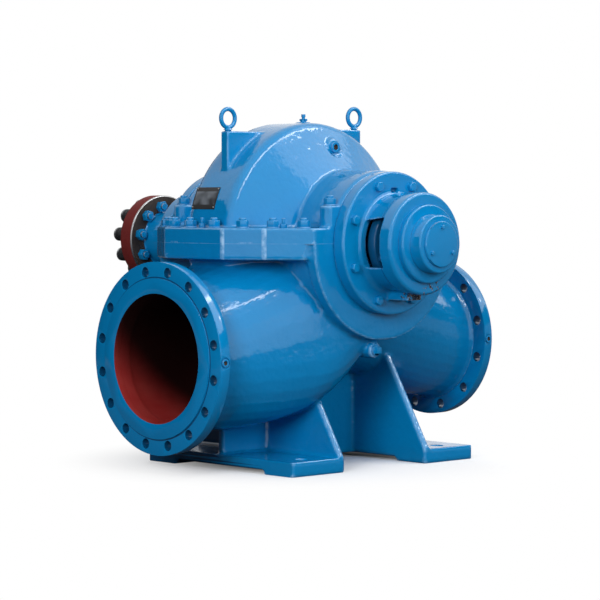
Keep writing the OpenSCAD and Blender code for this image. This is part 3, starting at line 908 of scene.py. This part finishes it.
@dataclass
class Nozzle:
    """A nozzle's machined flange, on an axis along Y."""

    name: str
    face_y: float
    outward: int
    centre_z: float
    radius: float
    thickness: float
    raised_radius: float
    raised: float
    bore: float
    pcd: float
    holes: int
    hole_radius: float
    flat_x: float
    flat_y: float
    flat_radius: float = 0.015
    dirt_and_shade_ring: float = 0.004

    def build(self, palette: Palette, primer: bpy.types.Material) -> Piece:
        """Models the flange with its raised face, bolt holes, bore and gauge plug's flat.

        Args:
            palette: the pump's finishes.
            primer: the finish of the bore.

        Returns:
            The flange.
        """
        out = self.outward
        back = self.face_y - out * self.thickness
        plate = self.face_y - out * self.raised
        flange = cylinder(self.name, self.radius, (0, back, self.centre_z), (0, plate, self.centre_z), 128)
        pick_faces(flange, lambda centre, normal: normal.y * out > 0.9)
        bpy.ops.mesh.inset(thickness=self.radius - self.raised_radius - self.dirt_and_shade_ring, depth=0.0)
        # A narrow ring round the raised face, which takes dirt and painted shade
        bpy.ops.mesh.inset(thickness=self.dirt_and_shade_ring, depth=0.0)
        bpy.ops.mesh.extrude_region_move(TRANSFORM_OT_translate={"value": (0, out * self.raised, 0)})
        to_object_mode()
        far = self.face_y + out * 0.05
        near = self.face_y - out * 0.2
        cutters = [cylinder("bore", self.bore, (0, near, self.centre_z), (0, far, self.centre_z), 128)]
        for i in range(self.holes):
            x, z = self.hole(i)
            cutters.append(cylinder("hole", self.hole_radius, (x, near, z), (x, far, z), 32))
        flat = (self.flat_x, self.flat_y, self.centre_z)
        outside = (self.radius + 0.02, self.flat_y, self.centre_z)
        cutters.append(cylinder("flat", self.flat_radius, flat, outside, 40))
        cut(flange, cutters)
        corner = math.radians(40)
        apply_modifier(flange, "BEVEL", width=0.0022, segments=2, limit_method="ANGLE", angle_limit=corner)
        shade(flange, 35)
        coat(flange, (palette.smooth_enamel, primer, palette.shade_and_oil_enamel), self.finish_at)
        return dress(flange, palette.smooth_enamel, Body.PUMP)

    def hole(self, number: int) -> tuple[float, float]:
        """Finds the centre of a bolt hole.

        Args:
            number: the hole's number round the bolt circle.

        Returns:
            Its X and Z.
        """
        angle = 2 * math.pi * (number + 0.5) / self.holes
        return self.pcd / 2 * math.cos(angle), self.centre_z + self.pcd / 2 * math.sin(angle)

    def in_hole(self, place: Vector) -> bool:
        """Says whether a place is within a bolt hole.

        Args:
            place: the place.

        Returns:
            True within one.
        """
        turn = math.atan2(place.z - self.centre_z, place.x) * self.holes / (2 * math.pi) - 0.5
        x, z = self.hole(round(turn))
        return math.hypot(place.x - x, place.z - z) < self.hole_radius + 0.0006

    def finish_at(self, centre: Vector, normal: Vector) -> int:
        """Picks a face's finish: enamel, primer in the bore, and the darker enamel as painted shade in the
        holes and as dirt and painted shade round the raised face.

        Args:
            centre: the face's centre.
            normal: its normal.

        Returns:
            The number of its material.
        """
        reach = math.hypot(centre.x, centre.z - self.centre_z)
        # The ring round the raised face takes dirt and painted shade, and the bolt holes painted shade
        if abs(normal.y) >= 0.3:
            return 2 if abs(reach - self.raised_radius - self.dirt_and_shade_ring / 2) < self.dirt_and_shade_ring / 2 else 0
        if reach < self.bore + 0.0006:
            return 1
        return 2 if reach < self.radius - 0.003 and self.in_hole(centre) else 0


@dataclass(frozen=True)
class Station:
    """A nozzle's outline halfway through its wall, at a distance along Y."""

    y: float
    half_width: float
    low: float
    high: float
    power: float


def within(stations: Sequence[Station], place: Vector) -> bool:
    """Says whether a place is inside a nozzle's wall.

    Args:
        stations: the nozzle's outlines in order of Y.
        place: the place.

    Returns:
        True inside.
    """
    for near, far in zip(stations, stations[1:]):
        if near.y <= place.y <= far.y:
            share = (place.y - near.y) / (far.y - near.y)
            width = near.half_width + share * (far.half_width - near.half_width)
            low = near.low + share * (far.low - near.low)
            high = near.high + share * (far.high - near.high)
            power = near.power + share * (far.power - near.power)
            across = abs(place.x) / width
            upright = abs(place.z - (low + high) / 2) / ((high - low) / 2)
            return across**power + upright**power < 1.0
    return False


SUCTION_WALL = (
    Station(-0.580, 0.188, 0.125, 0.501, 2.0),
    Station(-0.519, 0.190, 0.123, 0.505, 2.0),
    Station(-0.429, 0.208, 0.124, 0.526, 2.2),
    Station(-0.279, 0.251, 0.136, 0.572, 2.6),
    Station(-0.186, 0.268, 0.172, 0.572, 3.0),
)
DISCHARGE_WALL = (
    Station(0.056, 0.106, 0.288, 0.563, 2.4),
    Station(0.176, 0.147, 0.246, 0.550, 2.3),
    Station(0.337, 0.163, 0.191, 0.525, 2.1),
    Station(0.457, 0.165, 0.169, 0.499, 2.0),
    Station(0.516, 0.165, 0.169, 0.499, 2.0),
)


@dataclass
class LowerCasing:
    """The lower casting with both nozzles and the feet."""

    suction: Nozzle
    discharge: Nozzle
    voxel: float = 0.005
    rounds: int = 4
    fillet: int = 3
    most: int = 185000
    painted_shade_x: float = -0.04
    painted_shade_z: float = 0.12

    def build(self, palette: Palette) -> None:
        """Models the casting and both flanges.

        Args:
            palette: the pump's finishes.
        """
        body = copy_of_node("lower_casing", "lower_casing_body")
        extend_at_split(body, 1)
        for nozzle in (self.suction, self.discharge):
            cut(body, [self.flange_ring(nozzle)])
        cast_edges(body, self.voxel, self.rounds, self.fillet, self.most)
        trim_at_split(body, 1)
        shade(body, 40)
        keep_bends(body, 0.006)
        finishes = (palette.enamel, palette.suction_primer, palette.discharge_primer, palette.shade_and_oil_enamel)
        coat(body, finishes, self.finish_at)
        dress(body, palette.enamel, Body.PUMP)
        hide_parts("lower_casing")
        self.suction.build(palette, palette.suction_primer)
        self.discharge.build(palette, palette.discharge_primer)

    def finish_at(self, centre: Vector, normal: Vector) -> int:
        """Picks a face's finish: enamel, primer in each nozzle, and the darker enamel as painted shade low
        down towards the drive end.

        Args:
            centre: the face's centre.
            normal: its normal.

        Returns:
            The number of its material.
        """
        if within(SUCTION_WALL, centre):
            return 1
        if within(DISCHARGE_WALL, centre):
            return 2
        # Painted shade on the feet and webs low down towards the drive end
        return 3 if centre.x < self.painted_shade_x and centre.z < self.painted_shade_z else 0

    def flange_ring(self, nozzle: Nozzle) -> Piece:
        """Makes the cutter that takes a flange off the casting and leaves its neck.

        Args:
            nozzle: the nozzle whose flange is modelled apart.

        Returns:
            The cutter.
        """
        out = nozzle.outward
        start = nozzle.face_y - out * (nozzle.thickness + 0.0004)
        end = nozzle.face_y + out * 0.05
        z = nozzle.centre_z
        ring = cylinder("ring", nozzle.radius + 0.02, (0, start, z), (0, end, z), 96)
        inner = (0, start - out * 0.1, z)
        outer = (0, nozzle.face_y - out * 0.016, z)
        core = cylinder("core", nozzle.raised_radius - 0.004, inner, outer, 96)
        cut(ring, [core])
        return ring


@dataclass
class UpperCasing:
    """The upper casting with the volute, chambers, bosses and lugs."""

    voxel: float = 0.004
    rounds: int = 4
    fillet: int = 4
    most: int = 170000

    def build(self, palette: Palette) -> None:
        """Models the casting.

        Args:
            palette: the pump's finishes.
        """
        body = copy_of_node("upper_casing", "upper_casing_body")
        extend_at_split(body, -1)
        cast_edges(body, self.voxel, self.rounds, self.fillet, self.most)
        trim_at_split(body, -1)
        shade(body, 40)
        keep_bends(body, 0.005)
        dress(body, palette.enamel, Body.PUMP)
        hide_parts("upper_casing")


@dataclass
class HexBolt:
    """A hexagon head or nut along +Z, on a washer, with the stud's end standing out of it."""

    across: float
    height: float
    washer_radius: float = 0.0
    washer: float = 0.0
    stud_radius: float = 0.0
    proud: float = 0.0

    def pattern(self) -> Piece:
        """Models one at the origin.

        Returns:
            The pattern.
        """
        bpy.ops.object.select_all(action="DESELECT")
        corner = self.across / 2 / math.cos(math.pi / 6)
        top = self.washer + self.height
        bpy.ops.mesh.primitive_cylinder_add(
            vertices=6, radius=corner, depth=self.height, location=(0, 0, self.washer + self.height / 2)
        )
        head = bpy.context.object
        settle(head)
        pick_faces(head, lambda centre, normal: normal.z > 0.9)
        bpy.ops.mesh.inset(thickness=0.09 * self.across, depth=0.0)
        bpy.ops.transform.translate(value=(0, 0, 0.05 * self.across))
        to_object_mode()
        parts = [head]
        if self.washer > 0:
            parts.append(cylinder("washer", self.washer_radius, (0, 0, 0), (0, 0, self.washer), 28))
        if self.proud > 0:
            end = (0, 0, top + self.proud)
            stud = cylinder("stud", self.stud_radius, (0, 0, top - 0.002), end, 20)
            pick_faces(stud, lambda centre, normal: normal.z > 0.9)
            bpy.ops.mesh.inset(thickness=0.2 * self.stud_radius, depth=0.0)
            bpy.ops.transform.translate(value=(0, 0, 0.15 * self.stud_radius))
            to_object_mode()
            parts.append(stud)
        bolt = joined(parts, "bolt")
        apply_modifier(bolt, "BEVEL", width=0.0009, segments=2, limit_method="ANGLE", angle_limit=0.5)
        shade(bolt, 30)
        return bolt


def along_x(place: Point, side: int, turn: float) -> Matrix:
    """Places a pattern that points along +Z so that it points along X.

    Args:
        place: where its base goes.
        side: 1 for +X, -1 for -X.
        turn: how far it is turned about itself.

    Returns:
        The placing matrix.
    """
    facing = Matrix.Translation(place) @ Matrix.Rotation(side * math.pi / 2, 4, "Y")
    return facing @ Matrix.Rotation(turn, 4, "Z")


def along_z(place: Point, turn: float) -> Matrix:
    """Places a pattern that points along +Z, turned about itself.

    Args:
        place: where its base goes.
        turn: how far it is turned.

    Returns:
        The placing matrix.
    """
    return Matrix.Translation(place) @ Matrix.Rotation(turn, 4, "Z")


def on_circle(x: float, radius: float, degrees: float) -> Point:
    """Finds a place on a circle about the shaft.

    Args:
        x: the distance along the shaft.
        radius: the circle's radius.
        degrees: the angle from +Y towards +Z.

    Returns:
        The place.
    """
    angle = math.radians(degrees)
    return x, SHAFT_Y + radius * math.cos(angle), SHAFT_Z + radius * math.sin(angle)


@dataclass
class BearingEnd:
    """The bearing bracket, covers, gland and their bolts at one end."""

    side: Side
    prefix: str
    flange_x: float = 0.360
    inside: float = 0.1175
    wall_x: float = 0.432
    bolt_circle: float = 0.166
    gland_x: float = 0.393
    gland_circle: float = 0.092
    cap_x: float = 0.538
    cap_circle: float = 0.046

    def build(self, palette: Palette) -> None:
        """Models the bracket as a casting, the covers as turned pieces, and the bolts.

        Args:
            palette: the pump's finishes.
        """
        bracket = copy_of_node(f"{self.prefix}_bearing_bracket", f"{self.prefix}_bracket_casting")
        cast_edges(bracket, 0.003, 3, 2, 90000)
        shade(bracket, 40)
        keep_bends(bracket, 0.004)
        coat(bracket, (palette.bracket_enamel, palette.shade_and_oil_enamel), self.finish_at)
        dress(bracket, palette.bracket_enamel, Body.PUMP)
        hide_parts(f"{self.prefix}_bearing_bracket")
        turned = ["bearing_cover", "inner_cover", "gland"]
        if self.side is Side.CLOSED:
            turned.append("cap_plate")
        for part in turned:
            node = f"{self.prefix}_{part}"
            piece = copy_of_node(node, f"{node}_turned")
            machined_edges(piece, 0.0016)
            # The inner cover and gland, inside the bracket, take the darker enamel as oil and painted shade
            inner = part in ("inner_cover", "gland")
            dress(piece, palette.shade_and_oil_enamel if inner else palette.smooth_enamel, Body.PUMP)
            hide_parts(node)
        self.bolts(palette)

    def finish_at(self, centre: Vector, normal: Vector) -> int:
        """Picks a face's finish on the bracket: enamel, with the darker enamel inside the windows as oil and
        painted shade.

        Args:
            centre: the face's centre.
            normal: its normal.

        Returns:
            The number of its material.
        """
        reach = math.hypot(centre.y - SHAFT_Y, centre.z - SHAFT_Z)
        return int(reach < self.inside and self.flange_x + 0.002 < abs(centre.x) < self.wall_x)

    def bolts(self, palette: Palette) -> None:
        """Models the bolts of the flange, the gland and the cap.

        Args:
            palette: the pump's finishes.
        """
        sign = self.side.value
        turns = (0.3, 0.9, 0.1, 0.6, 1.2, 0.4, 0.8, 0.2)
        flange = [(22.5 + 45 * i, turn) for i, turn in enumerate(turns)]
        gland = [(25.0, 0.4), (205.0, 0.4)]
        cap = [(90.0, 0.2), (210.0, 0.2), (330.0, 0.2)]
        head = HexBolt(0.024, 0.0105)
        nut = HexBolt(0.024, 0.013, stud_radius=0.008, proud=0.012)
        screw = HexBolt(0.010, 0.0055)
        enamel = palette.smooth_enamel
        rows = [
            (f"{self.prefix}_flange_bolts", head, self.flange_x, self.bolt_circle, flange, enamel),
            # The gland nuts inside the bracket take the darker enamel as oil and painted shade
            (f"{self.prefix}_gland_nuts", nut, self.gland_x, self.gland_circle, gland, palette.shade_and_oil_enamel),
        ]
        if self.side is Side.CLOSED:
            rows.append(("cap_screws", screw, self.cap_x, self.cap_circle, cap, enamel))
        for name, bolt, x, radius, spots, finish in rows:
            places = [along_x(on_circle(sign * x, radius, degrees), sign, turn) for degrees, turn in spots]
            dress(repeated(bolt.pattern(), places, name), finish, Body.PUMP)


@dataclass
class SplitJoint:
    """The studs and nuts that hold both casing halves together, and the jack screws."""

    top: float = 0.663
    boss_top: float = 0.723
    front: tuple[tuple[float, float], ...] = ((-0.104, -0.416), (-0.040, -0.416), (0.058, -0.416))
    angled: tuple[tuple[float, float], ...] = ((0.147, -0.393), (0.217, -0.348), (0.280, -0.294))
    rear: tuple[tuple[float, float], ...] = ((-0.100, 0.300), (-0.034, 0.300), (0.034, 0.300), (0.100, 0.300))
    rear_angled: tuple[tuple[float, float], ...] = ((0.152, 0.277), (0.217, 0.245), (0.280, 0.210))
    jacks: tuple[tuple[float, float], ...] = ((0.010, -0.417), (0.240, -0.330), (-0.240, -0.330))

    def build(self, palette: Palette) -> None:
        """Models the nuts on the flange and the bosses, and the jack screws.

        Args:
            palette: the pump's finishes.
        """
        spots = list(self.front) + list(self.rear)
        for x, y in self.angled + self.rear_angled:
            spots.append((x, y))
            spots.append((-x, y))
        top = [along_z((x, y, self.top), 0.5 + 7.0 * x) for x, y in spots]
        bosses = [(x, y) for x in (-0.3, 0.3) for y in (SHAFT_Y - 0.186, SHAFT_Y + 0.186)]
        top += [along_z((x, y, self.boss_top), 0.3) for x, y in bosses]
        nut = HexBolt(0.030, 0.016, 0.0185, 0.003, 0.010, 0.007).pattern()
        dress(repeated(nut, top, "split_nuts"), palette.smooth_enamel, Body.PUMP)
        jack = HexBolt(0.017, 0.010, stud_radius=0.005, proud=0.016).pattern()
        spots = [along_z((x, y, self.top), 0.2) for x, y in self.jacks]
        dress(repeated(jack, spots, "jack_screws"), palette.smooth_enamel, Body.PUMP)


@dataclass
class Nameplate:
    """The bare plate riveted to the volute's rim on the suction side."""

    centre_x: float = -0.030
    width: float = 0.094
    height: float = 0.064
    rim_radius: float = 0.332
    rim_y: float = -0.060
    middle_deg: float = 21.6
    thickness: float = 0.0016

    def build(self, palette: Palette) -> None:
        """Models the plate, bent to the rim, and its rivets.

        Args:
            palette: the pump's finishes.
        """
        bpy.ops.object.select_all(action="DESELECT")
        bpy.ops.mesh.primitive_grid_add(x_subdivisions=20, y_subdivisions=20, size=1.0)
        plate = bpy.context.object
        plate.name = "nameplate"
        for vertex in plate.data.vertices:
            across, up = vertex.co.x, vertex.co.y
            vertex.co = self.on_rim(across * self.width, up * self.height, 0.0004)
        plate.data.materials.append(palette.plate_print)
        plate.data.materials.append(palette.plate_field)
        for index, polygon in enumerate(plate.data.polygons):
            column, row = index % 20, index // 20
            if 1 <= column <= 18 and 4 <= row <= 15:
                polygon.material_index = 1
        apply_modifier(plate, "SOLIDIFY", thickness=self.thickness, offset=1.0)
        apply_modifier(plate, "BEVEL", width=0.0004, segments=1, limit_method="ANGLE", angle_limit=0.9)
        shade(plate, 40)
        dress(plate, palette.plate_print, Body.PUMP)
        rivets = []
        for across in (-0.455, 0.455):
            for up in (-0.42, 0.42):
                base = self.on_rim(across * self.width, up * self.height, 0.0)
                tip = self.on_rim(across * self.width, up * self.height, 0.0036)
                rivet = cylinder("rivet", 0.0026, tuple(base), tuple(tip), 14)
                apply_modifier(rivet, "BEVEL", width=0.001, segments=2, limit_method="ANGLE", angle_limit=0.9)
                rivets.append(rivet)
        heads = joined(rivets, "nameplate_rivets")
        shade(heads, 50)
        dress(heads, palette.steel, Body.PUMP)

    def on_rim(self, across: float, up: float, proud: float) -> Vector:
        """Finds a place on the volute's rim.

        Args:
            across: the distance from the plate's middle along X.
            up: the distance from the plate's middle round the rim.
            proud: the height over the rim.

        Returns:
            The place.
        """
        angle = math.radians(self.middle_deg) + up / self.rim_radius
        reach = self.rim_radius + proud
        y = self.rim_y - reach * math.cos(angle)
        z = SHAFT_Z + reach * math.sin(angle)
        return Vector((self.centre_x + across, y, z))


@dataclass
class Rotor:
    """The shaft, sleeves and the pump half of the pin coupling."""

    disc_near: float = -0.606
    disc_far: float = -0.658
    disc_radius: float = 0.130
    pins: int = 10
    pin_circle: float = 0.098
    first_pin: float = 0.77
    bush_radius: float = 0.0205
    bush_length: float = 0.040

    def build(self, palette: Palette) -> None:
        """Models the turning pieces.

        Args:
            palette: the pump's finishes.
        """
        turned = {
            "shaft": (palette.steel, Slot.STEEL),
            "nde_shaft_sleeve": (palette.steel, Slot.STEEL),
            "de_shaft_sleeve": (palette.steel, Slot.STEEL),
            "coupling_half": (palette.coupling_primer, Slot.PRIMER),
            "coupling_pins": (palette.steel, Slot.STEEL),
            "coupling_nuts": (palette.smooth_enamel, Slot.ENAMEL),
        }
        for node, (finish, slot) in turned.items():
            piece = copy_of_node(node, f"{node}_turned")
            machined_edges(piece, 0.0012)
            if node == "coupling_half":
                more = (palette.grime_and_shade_iron, palette.smooth_enamel, palette.steel)
                coat(piece, (finish, *more), self.coupling_finish)
            if node == "coupling_pins":
                coat(piece, (finish, palette.smooth_enamel), self.pin_finish)
            dress(piece, finish, Body.ROTOR)
            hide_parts(node)
        self.bushes(palette)

    def coupling_finish(self, centre: Vector, normal: Vector) -> int:
        """Picks a face's finish on the coupling half: primed rim, grimy face, blue hub, bare turned edge.

        Args:
            centre: the face's centre.
            normal: its normal.

        Returns:
            The number of its material.
        """
        if centre.x > self.disc_near + 0.0004:
            return 2
        if abs(centre.x - self.disc_near) < 0.0004 and normal.x > 0.9:
            return 1
        reach = math.hypot(centre.y - SHAFT_Y, centre.z - SHAFT_Z)
        on_edge = centre.x > self.disc_near - 0.004 and reach > self.disc_radius - 0.005
        return 3 if on_edge and normal.x > 0.1 else 0

    def pin_finish(self, centre: Vector, normal: Vector) -> int:
        """Picks steel for a pin, and the nuts' enamel for its end on the nut side."""
        return int(centre.x > self.disc_near)

    def bushes(self, palette: Palette) -> None:
        """Models the ribbed rubber bushes on the pins.

        Args:
            palette: the pump's finishes.
        """
        start = (0.0, 0.0, 0.0)
        bush = cylinder("bush", self.bush_radius, start, (0.0, 0.0, self.bush_length), 36)
        for share in (0.30, 0.35, 0.40, 0.62, 0.67, 0.72):
            edit_all(bush)
            bpy.ops.mesh.bisect(plane_co=(0, 0, share * self.bush_length), plane_no=(0, 0, 1))
            to_object_mode()
        for vertex in bush.data.vertices:
            share = vertex.co.z / self.bush_length
            if abs(share - 0.35) < 0.01 or abs(share - 0.67) < 0.01:
                vertex.co.x *= 0.93
                vertex.co.y *= 0.93
        apply_modifier(bush, "BEVEL", width=0.0022, segments=2, limit_method="ANGLE", angle_limit=1.2)
        shade(bush, 40)
        places = []
        for i in range(self.pins):
            spot = on_circle(self.disc_far, self.pin_circle, 360 * (i + self.first_pin) / self.pins)
            places.append(along_x(spot, -1, 0.0))
        ring = repeated(bush, places, "coupling_rubber_bushes")
        dress(ring, palette.rubber, Body.ROTOR)
        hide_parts("coupling_bushes")


@dataclass
class Fittings:
    """Eyebolts, vent cock and plugs."""

    plain: tuple[str, ...] = (
        "suction_eyebolt",
        "discharge_eyebolt",
        "vent_cock",
        "nde_drain_plug",
        "de_drain_plug",
    )
    sockets: tuple[str, ...] = ("volute_plug", "suction_gauge_plug", "discharge_gauge_plug")

    def build(self, palette: Palette) -> None:
        """Models the small fittings.

        Args:
            palette: the pump's finishes.
        """
        for node in self.plain + self.sockets:
            piece = copy_of_node(node, f"{node}_fitting")
            machined_edges(piece, 0.0012)
            if node in self.sockets:
                self.darken_socket(piece, palette)
            dress(piece, palette.smooth_enamel, Body.PUMP)
            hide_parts(node)

    def darken_socket(self, piece: Piece, palette: Palette) -> None:
        """Paints a plug's socket, which faces along X, dark brown as painted shade in the recess.

        Args:
            piece: the plug.
            palette: the pump's finishes.
        """
        places = gathered(piece.data.vertices, "co", 3)
        middle = (places.min(axis=0) + places.max(axis=0)) / 2
        size = places.max(axis=0) - places.min(axis=0)

        def in_socket(centre: Vector, normal: Vector) -> int:
            """Picks the second finish for a face in the socket.

            Args:
                centre: the face's centre.
                normal: its normal.

            Returns:
                The number of its material.
            """
            depth = middle[0] + size[0] / 2 - centre.x
            reach = math.hypot(centre.y - middle[1], centre.z - middle[2])
            return int(depth > 0.0012 and reach < 0.34 * size[1])

        # The socket takes a dark finish as painted shade in the recess
        coat(piece, (palette.smooth_enamel, palette.grime_and_shade_iron), in_socket)


@dataclass
class Studio:
    """The camera of the photograph, a pale floor and soft light."""

    eye: Point = (5.0193, -4.7797, 0.7481)
    yaw_deg: float = 46.66
    pitch_deg: float = 2.43
    lens_mm: float = 146.94

    def build(self) -> None:
        """Sets up the camera, floor, lamps and world."""
        self.camera()
        self.floor()
        self.lamps()
        self.world()
        bpy.context.scene.view_settings.view_transform = "Standard"

    def camera(self) -> None:
        """Adds the camera at the photograph's viewing angle."""
        data = bpy.data.cameras.new("camera")
        data.lens = self.lens_mm
        data.sensor_width = 36.0
        data.clip_end = 60.0
        camera = bpy.data.objects.new("camera", data)
        camera.location = self.eye
        camera.rotation_euler = (math.radians(90 - self.pitch_deg), 0.0, math.radians(self.yaw_deg))
        bpy.context.scene.collection.objects.link(camera)
        bpy.context.scene.camera = camera

    def floor(self) -> None:
        """Adds a pale floor that keeps the shadow near the pump and turns white further out."""
        bpy.ops.object.select_all(action="DESELECT")
        bpy.ops.mesh.primitive_circle_add(vertices=96, radius=14.0, fill_type="NGON")
        floor = bpy.context.object
        floor.name = "floor"
        material, tree = new_material("pale_floor")
        place = add_node(tree, "ShaderNodeTexCoord", {}).outputs["Object"]
        reach = add_node(tree, "ShaderNodeVectorMath", {0: place}, operation="LENGTH").outputs["Value"]
        path = add_node(tree, "ShaderNodeLightPath", {}).outputs
        both = {0: path["Is Glossy Ray"], 1: path["Is Transmission Ray"]}
        mirrored = add_node(tree, "ShaderNodeMath", both, operation="MAXIMUM").outputs[0]
        shares = []
        for near, far, seen in ((0.15, 0.75, path["Is Camera Ray"]), (2.5, 7.0, mirrored)):
            levels = {0: reach, 1: near, 2: far, 3: 0.0, 4: 1.0}
            white = add_node(tree, "ShaderNodeMapRange", levels, interpolation_type="SMOOTHSTEP").outputs[0]
            share = add_node(tree, "ShaderNodeMath", {0: white, 1: seen}, operation="MULTIPLY")
            shares.append(share.outputs[0])
        share = add_node(tree, "ShaderNodeMath", {0: shares[0], 1: shares[1]}, operation="MAXIMUM").outputs[0]
        levels = {0: path["Is Camera Ray"], 1: 0.0, 2: 1.0, 3: 0.08, 4: 0.95}
        tone = add_node(tree, "ShaderNodeMapRange", levels).outputs[0]
        matt = add_node(tree, "ShaderNodeBsdfDiffuse", {"Color": tone}).outputs[0]
        white = add_node(tree, "ShaderNodeEmission", {"Color": (1.0, 1.0, 1.0, 1.0), "Strength": 1.0})
        mix = add_node(tree, "ShaderNodeMixShader", {0: share, 1: matt, 2: white.outputs[0]})
        add_node(tree, "ShaderNodeOutputMaterial", {"Surface": mix.outputs[0]})
        floor.data.materials.append(material)

    def lamps(self) -> None:
        """Adds a slanted strip overhead, two high soft boxes, three fills and cards round the pump."""
        self.soft_box("strip", (1.9, -0.5, 3.3), Euler((0.0, 0.5, 0.4)), (0.34, 6.0), 58.0)
        self.soft_box("sky", (2.2, 2.6, 3.8), self.aimed((2.2, 2.6, 3.8)), (4.5, 4.5), 80.0)
        self.soft_box("edge_box", (2.86, 4.15, 3.8), self.aimed((2.86, 4.15, 3.8)), (0.45, 0.45), 10.0)
        fills = (
            ("fill", (2.8, -5.5, 2.3), 245.0),
            ("right_fill", (5.5, -0.2, 2.0), 118.0),
            ("back_fill", (-4.2, 3.6, 2.6), 190.0),
        )
        for name, place, watts in fills:
            lamp = self.soft_box(name, place, self.aimed(place), (2.5, 2.5), watts)
            lamp.visible_glossy = False
            lamp.data.color = (0.97, 0.99, 1.03)
        self.card("left_card", (-2.7, -2.8, 1.2), (4.5, 2.6), (0.72, 0.69, 0.0), 0.02)
        self.card("back_card", (-4.0, 1.1, 1.0), (3.2, 2.4), (0.95, -0.3, 0.0), 0.03)
        self.card("right_low_card", (3.0, 2.9, 0.4), (4.5, 1.5), (-0.72, -0.69, 0.0), 0.5)
        self.card("right_high_card", (3.0, 2.9, 1.75), (4.5, 1.2), (-0.72, -0.69, 0.0), 0.02)

    def aimed(self, place: Point) -> Euler:
        """Turns a lamp at a place towards the middle of the pump."""
        return (Vector((0.0, 0.0, 0.55)) - Vector(place)).to_track_quat("-Z", "Y").to_euler()

    def soft_box(
        self, name: str, place: Point, turn: Euler, size: tuple[float, float], watts: float
    ) -> bpy.types.Object:
        """Adds one soft box.

        Args:
            name: the lamp's name.
            place: where it hangs.
            turn: which way it is turned.
            size: its width and length.
            watts: its power.

        Returns:
            The lamp.
        """
        data = bpy.data.lights.new(name, "AREA")
        data.shape = "RECTANGLE"
        data.size, data.size_y = size
        data.energy = watts
        lamp = bpy.data.objects.new(name, data)
        lamp.location = place
        lamp.rotation_euler = turn
        bpy.context.scene.collection.objects.link(lamp)
        return lamp

    def card(self, name: str, place: Point, size: tuple[float, float], facing: Point, tone: float) -> None:
        """Stands a cloth card beside the pump, out of the camera's sight, for the gloss to reflect.

        Args:
            name: the card's name.
            place: its middle.
            size: its width and height.
            facing: the way that it faces.
            tone: how much light the cloth gives back.
        """
        bpy.ops.object.select_all(action="DESELECT")
        bpy.ops.mesh.primitive_plane_add(size=1.0)
        card = bpy.context.object
        card.name = name
        card.scale = (*size, 1.0)
        card.location = place
        card.rotation_euler = Vector(facing).to_track_quat("Z", "Y").to_euler()
        material, tree = new_material(f"{name}_cloth")
        cloth = add_node(tree, "ShaderNodeBsdfDiffuse", {"Color": (tone, tone, tone, 1.0)})
        add_node(tree, "ShaderNodeOutputMaterial", {"Surface": cloth.outputs[0]})
        card.data.materials.append(material)
        card.visible_camera = False

    def world(self) -> None:
        """Adds an even world light with a white background."""
        world = bpy.data.worlds.new("studio")
        world.use_nodes = True
        tree = world.node_tree
        tree.nodes.clear()
        path = add_node(tree, "ShaderNodeLightPath", {}).outputs
        seen = path["Is Camera Ray"]
        for kind in ("Is Glossy Ray", "Is Transmission Ray"):
            seen = add_node(tree, "ShaderNodeMath", {0: seen, 1: path[kind]}, operation="MAXIMUM").outputs[0]
        level = add_node(tree, "ShaderNodeMapRange", {0: seen, 1: 0.0, 2: 1.0, 3: 0.13, 4: 1.0})
        inputs = {"Color": (1.0, 1.0, 1.0, 1.0), "Strength": level.outputs[0]}
        back = add_node(tree, "ShaderNodeBackground", inputs)
        add_node(tree, "ShaderNodeOutputWorld", {"Surface": back.outputs[0]})
        bpy.context.scene.world = world


def main() -> None:
    """Builds the studio and every sub-assembly in order."""
    logging.basicConfig(level=logging.INFO, format="%(message)s")
    palette = Palette.mixed()
    Studio().build()
    suction = Nozzle(
        "suction_flange",
        face_y=-0.575,
        outward=-1,
        centre_z=0.313,
        radius=0.260,
        thickness=0.036,
        raised_radius=0.216,
        raised=0.004,
        bore=0.175,
        pcd=0.470,
        holes=16,
        hole_radius=0.014,
        flat_x=0.257,
        flat_y=-0.555,
    )
    discharge = Nozzle(
        "discharge_flange",
        face_y=0.511,
        outward=1,
        centre_z=0.334,
        radius=0.230,
        thickness=0.034,
        raised_radius=0.185,
        raised=0.004,
        bore=0.150,
        pcd=0.410,
        holes=12,
        hole_radius=0.014,
        flat_x=0.227,
        flat_y=0.492,
        flat_radius=0.013,
    )
    LowerCasing(suction, discharge).build(palette)
    UpperCasing().build(palette)
    BearingEnd(Side.CLOSED, "nde").build(palette)
    BearingEnd(Side.DRIVE, "de").build(palette)
    Rotor().build(palette)
    Fittings().build(palette)
    SplitJoint().build(palette)
    Nameplate().build(palette)


if __name__ == "__main__":
    main()
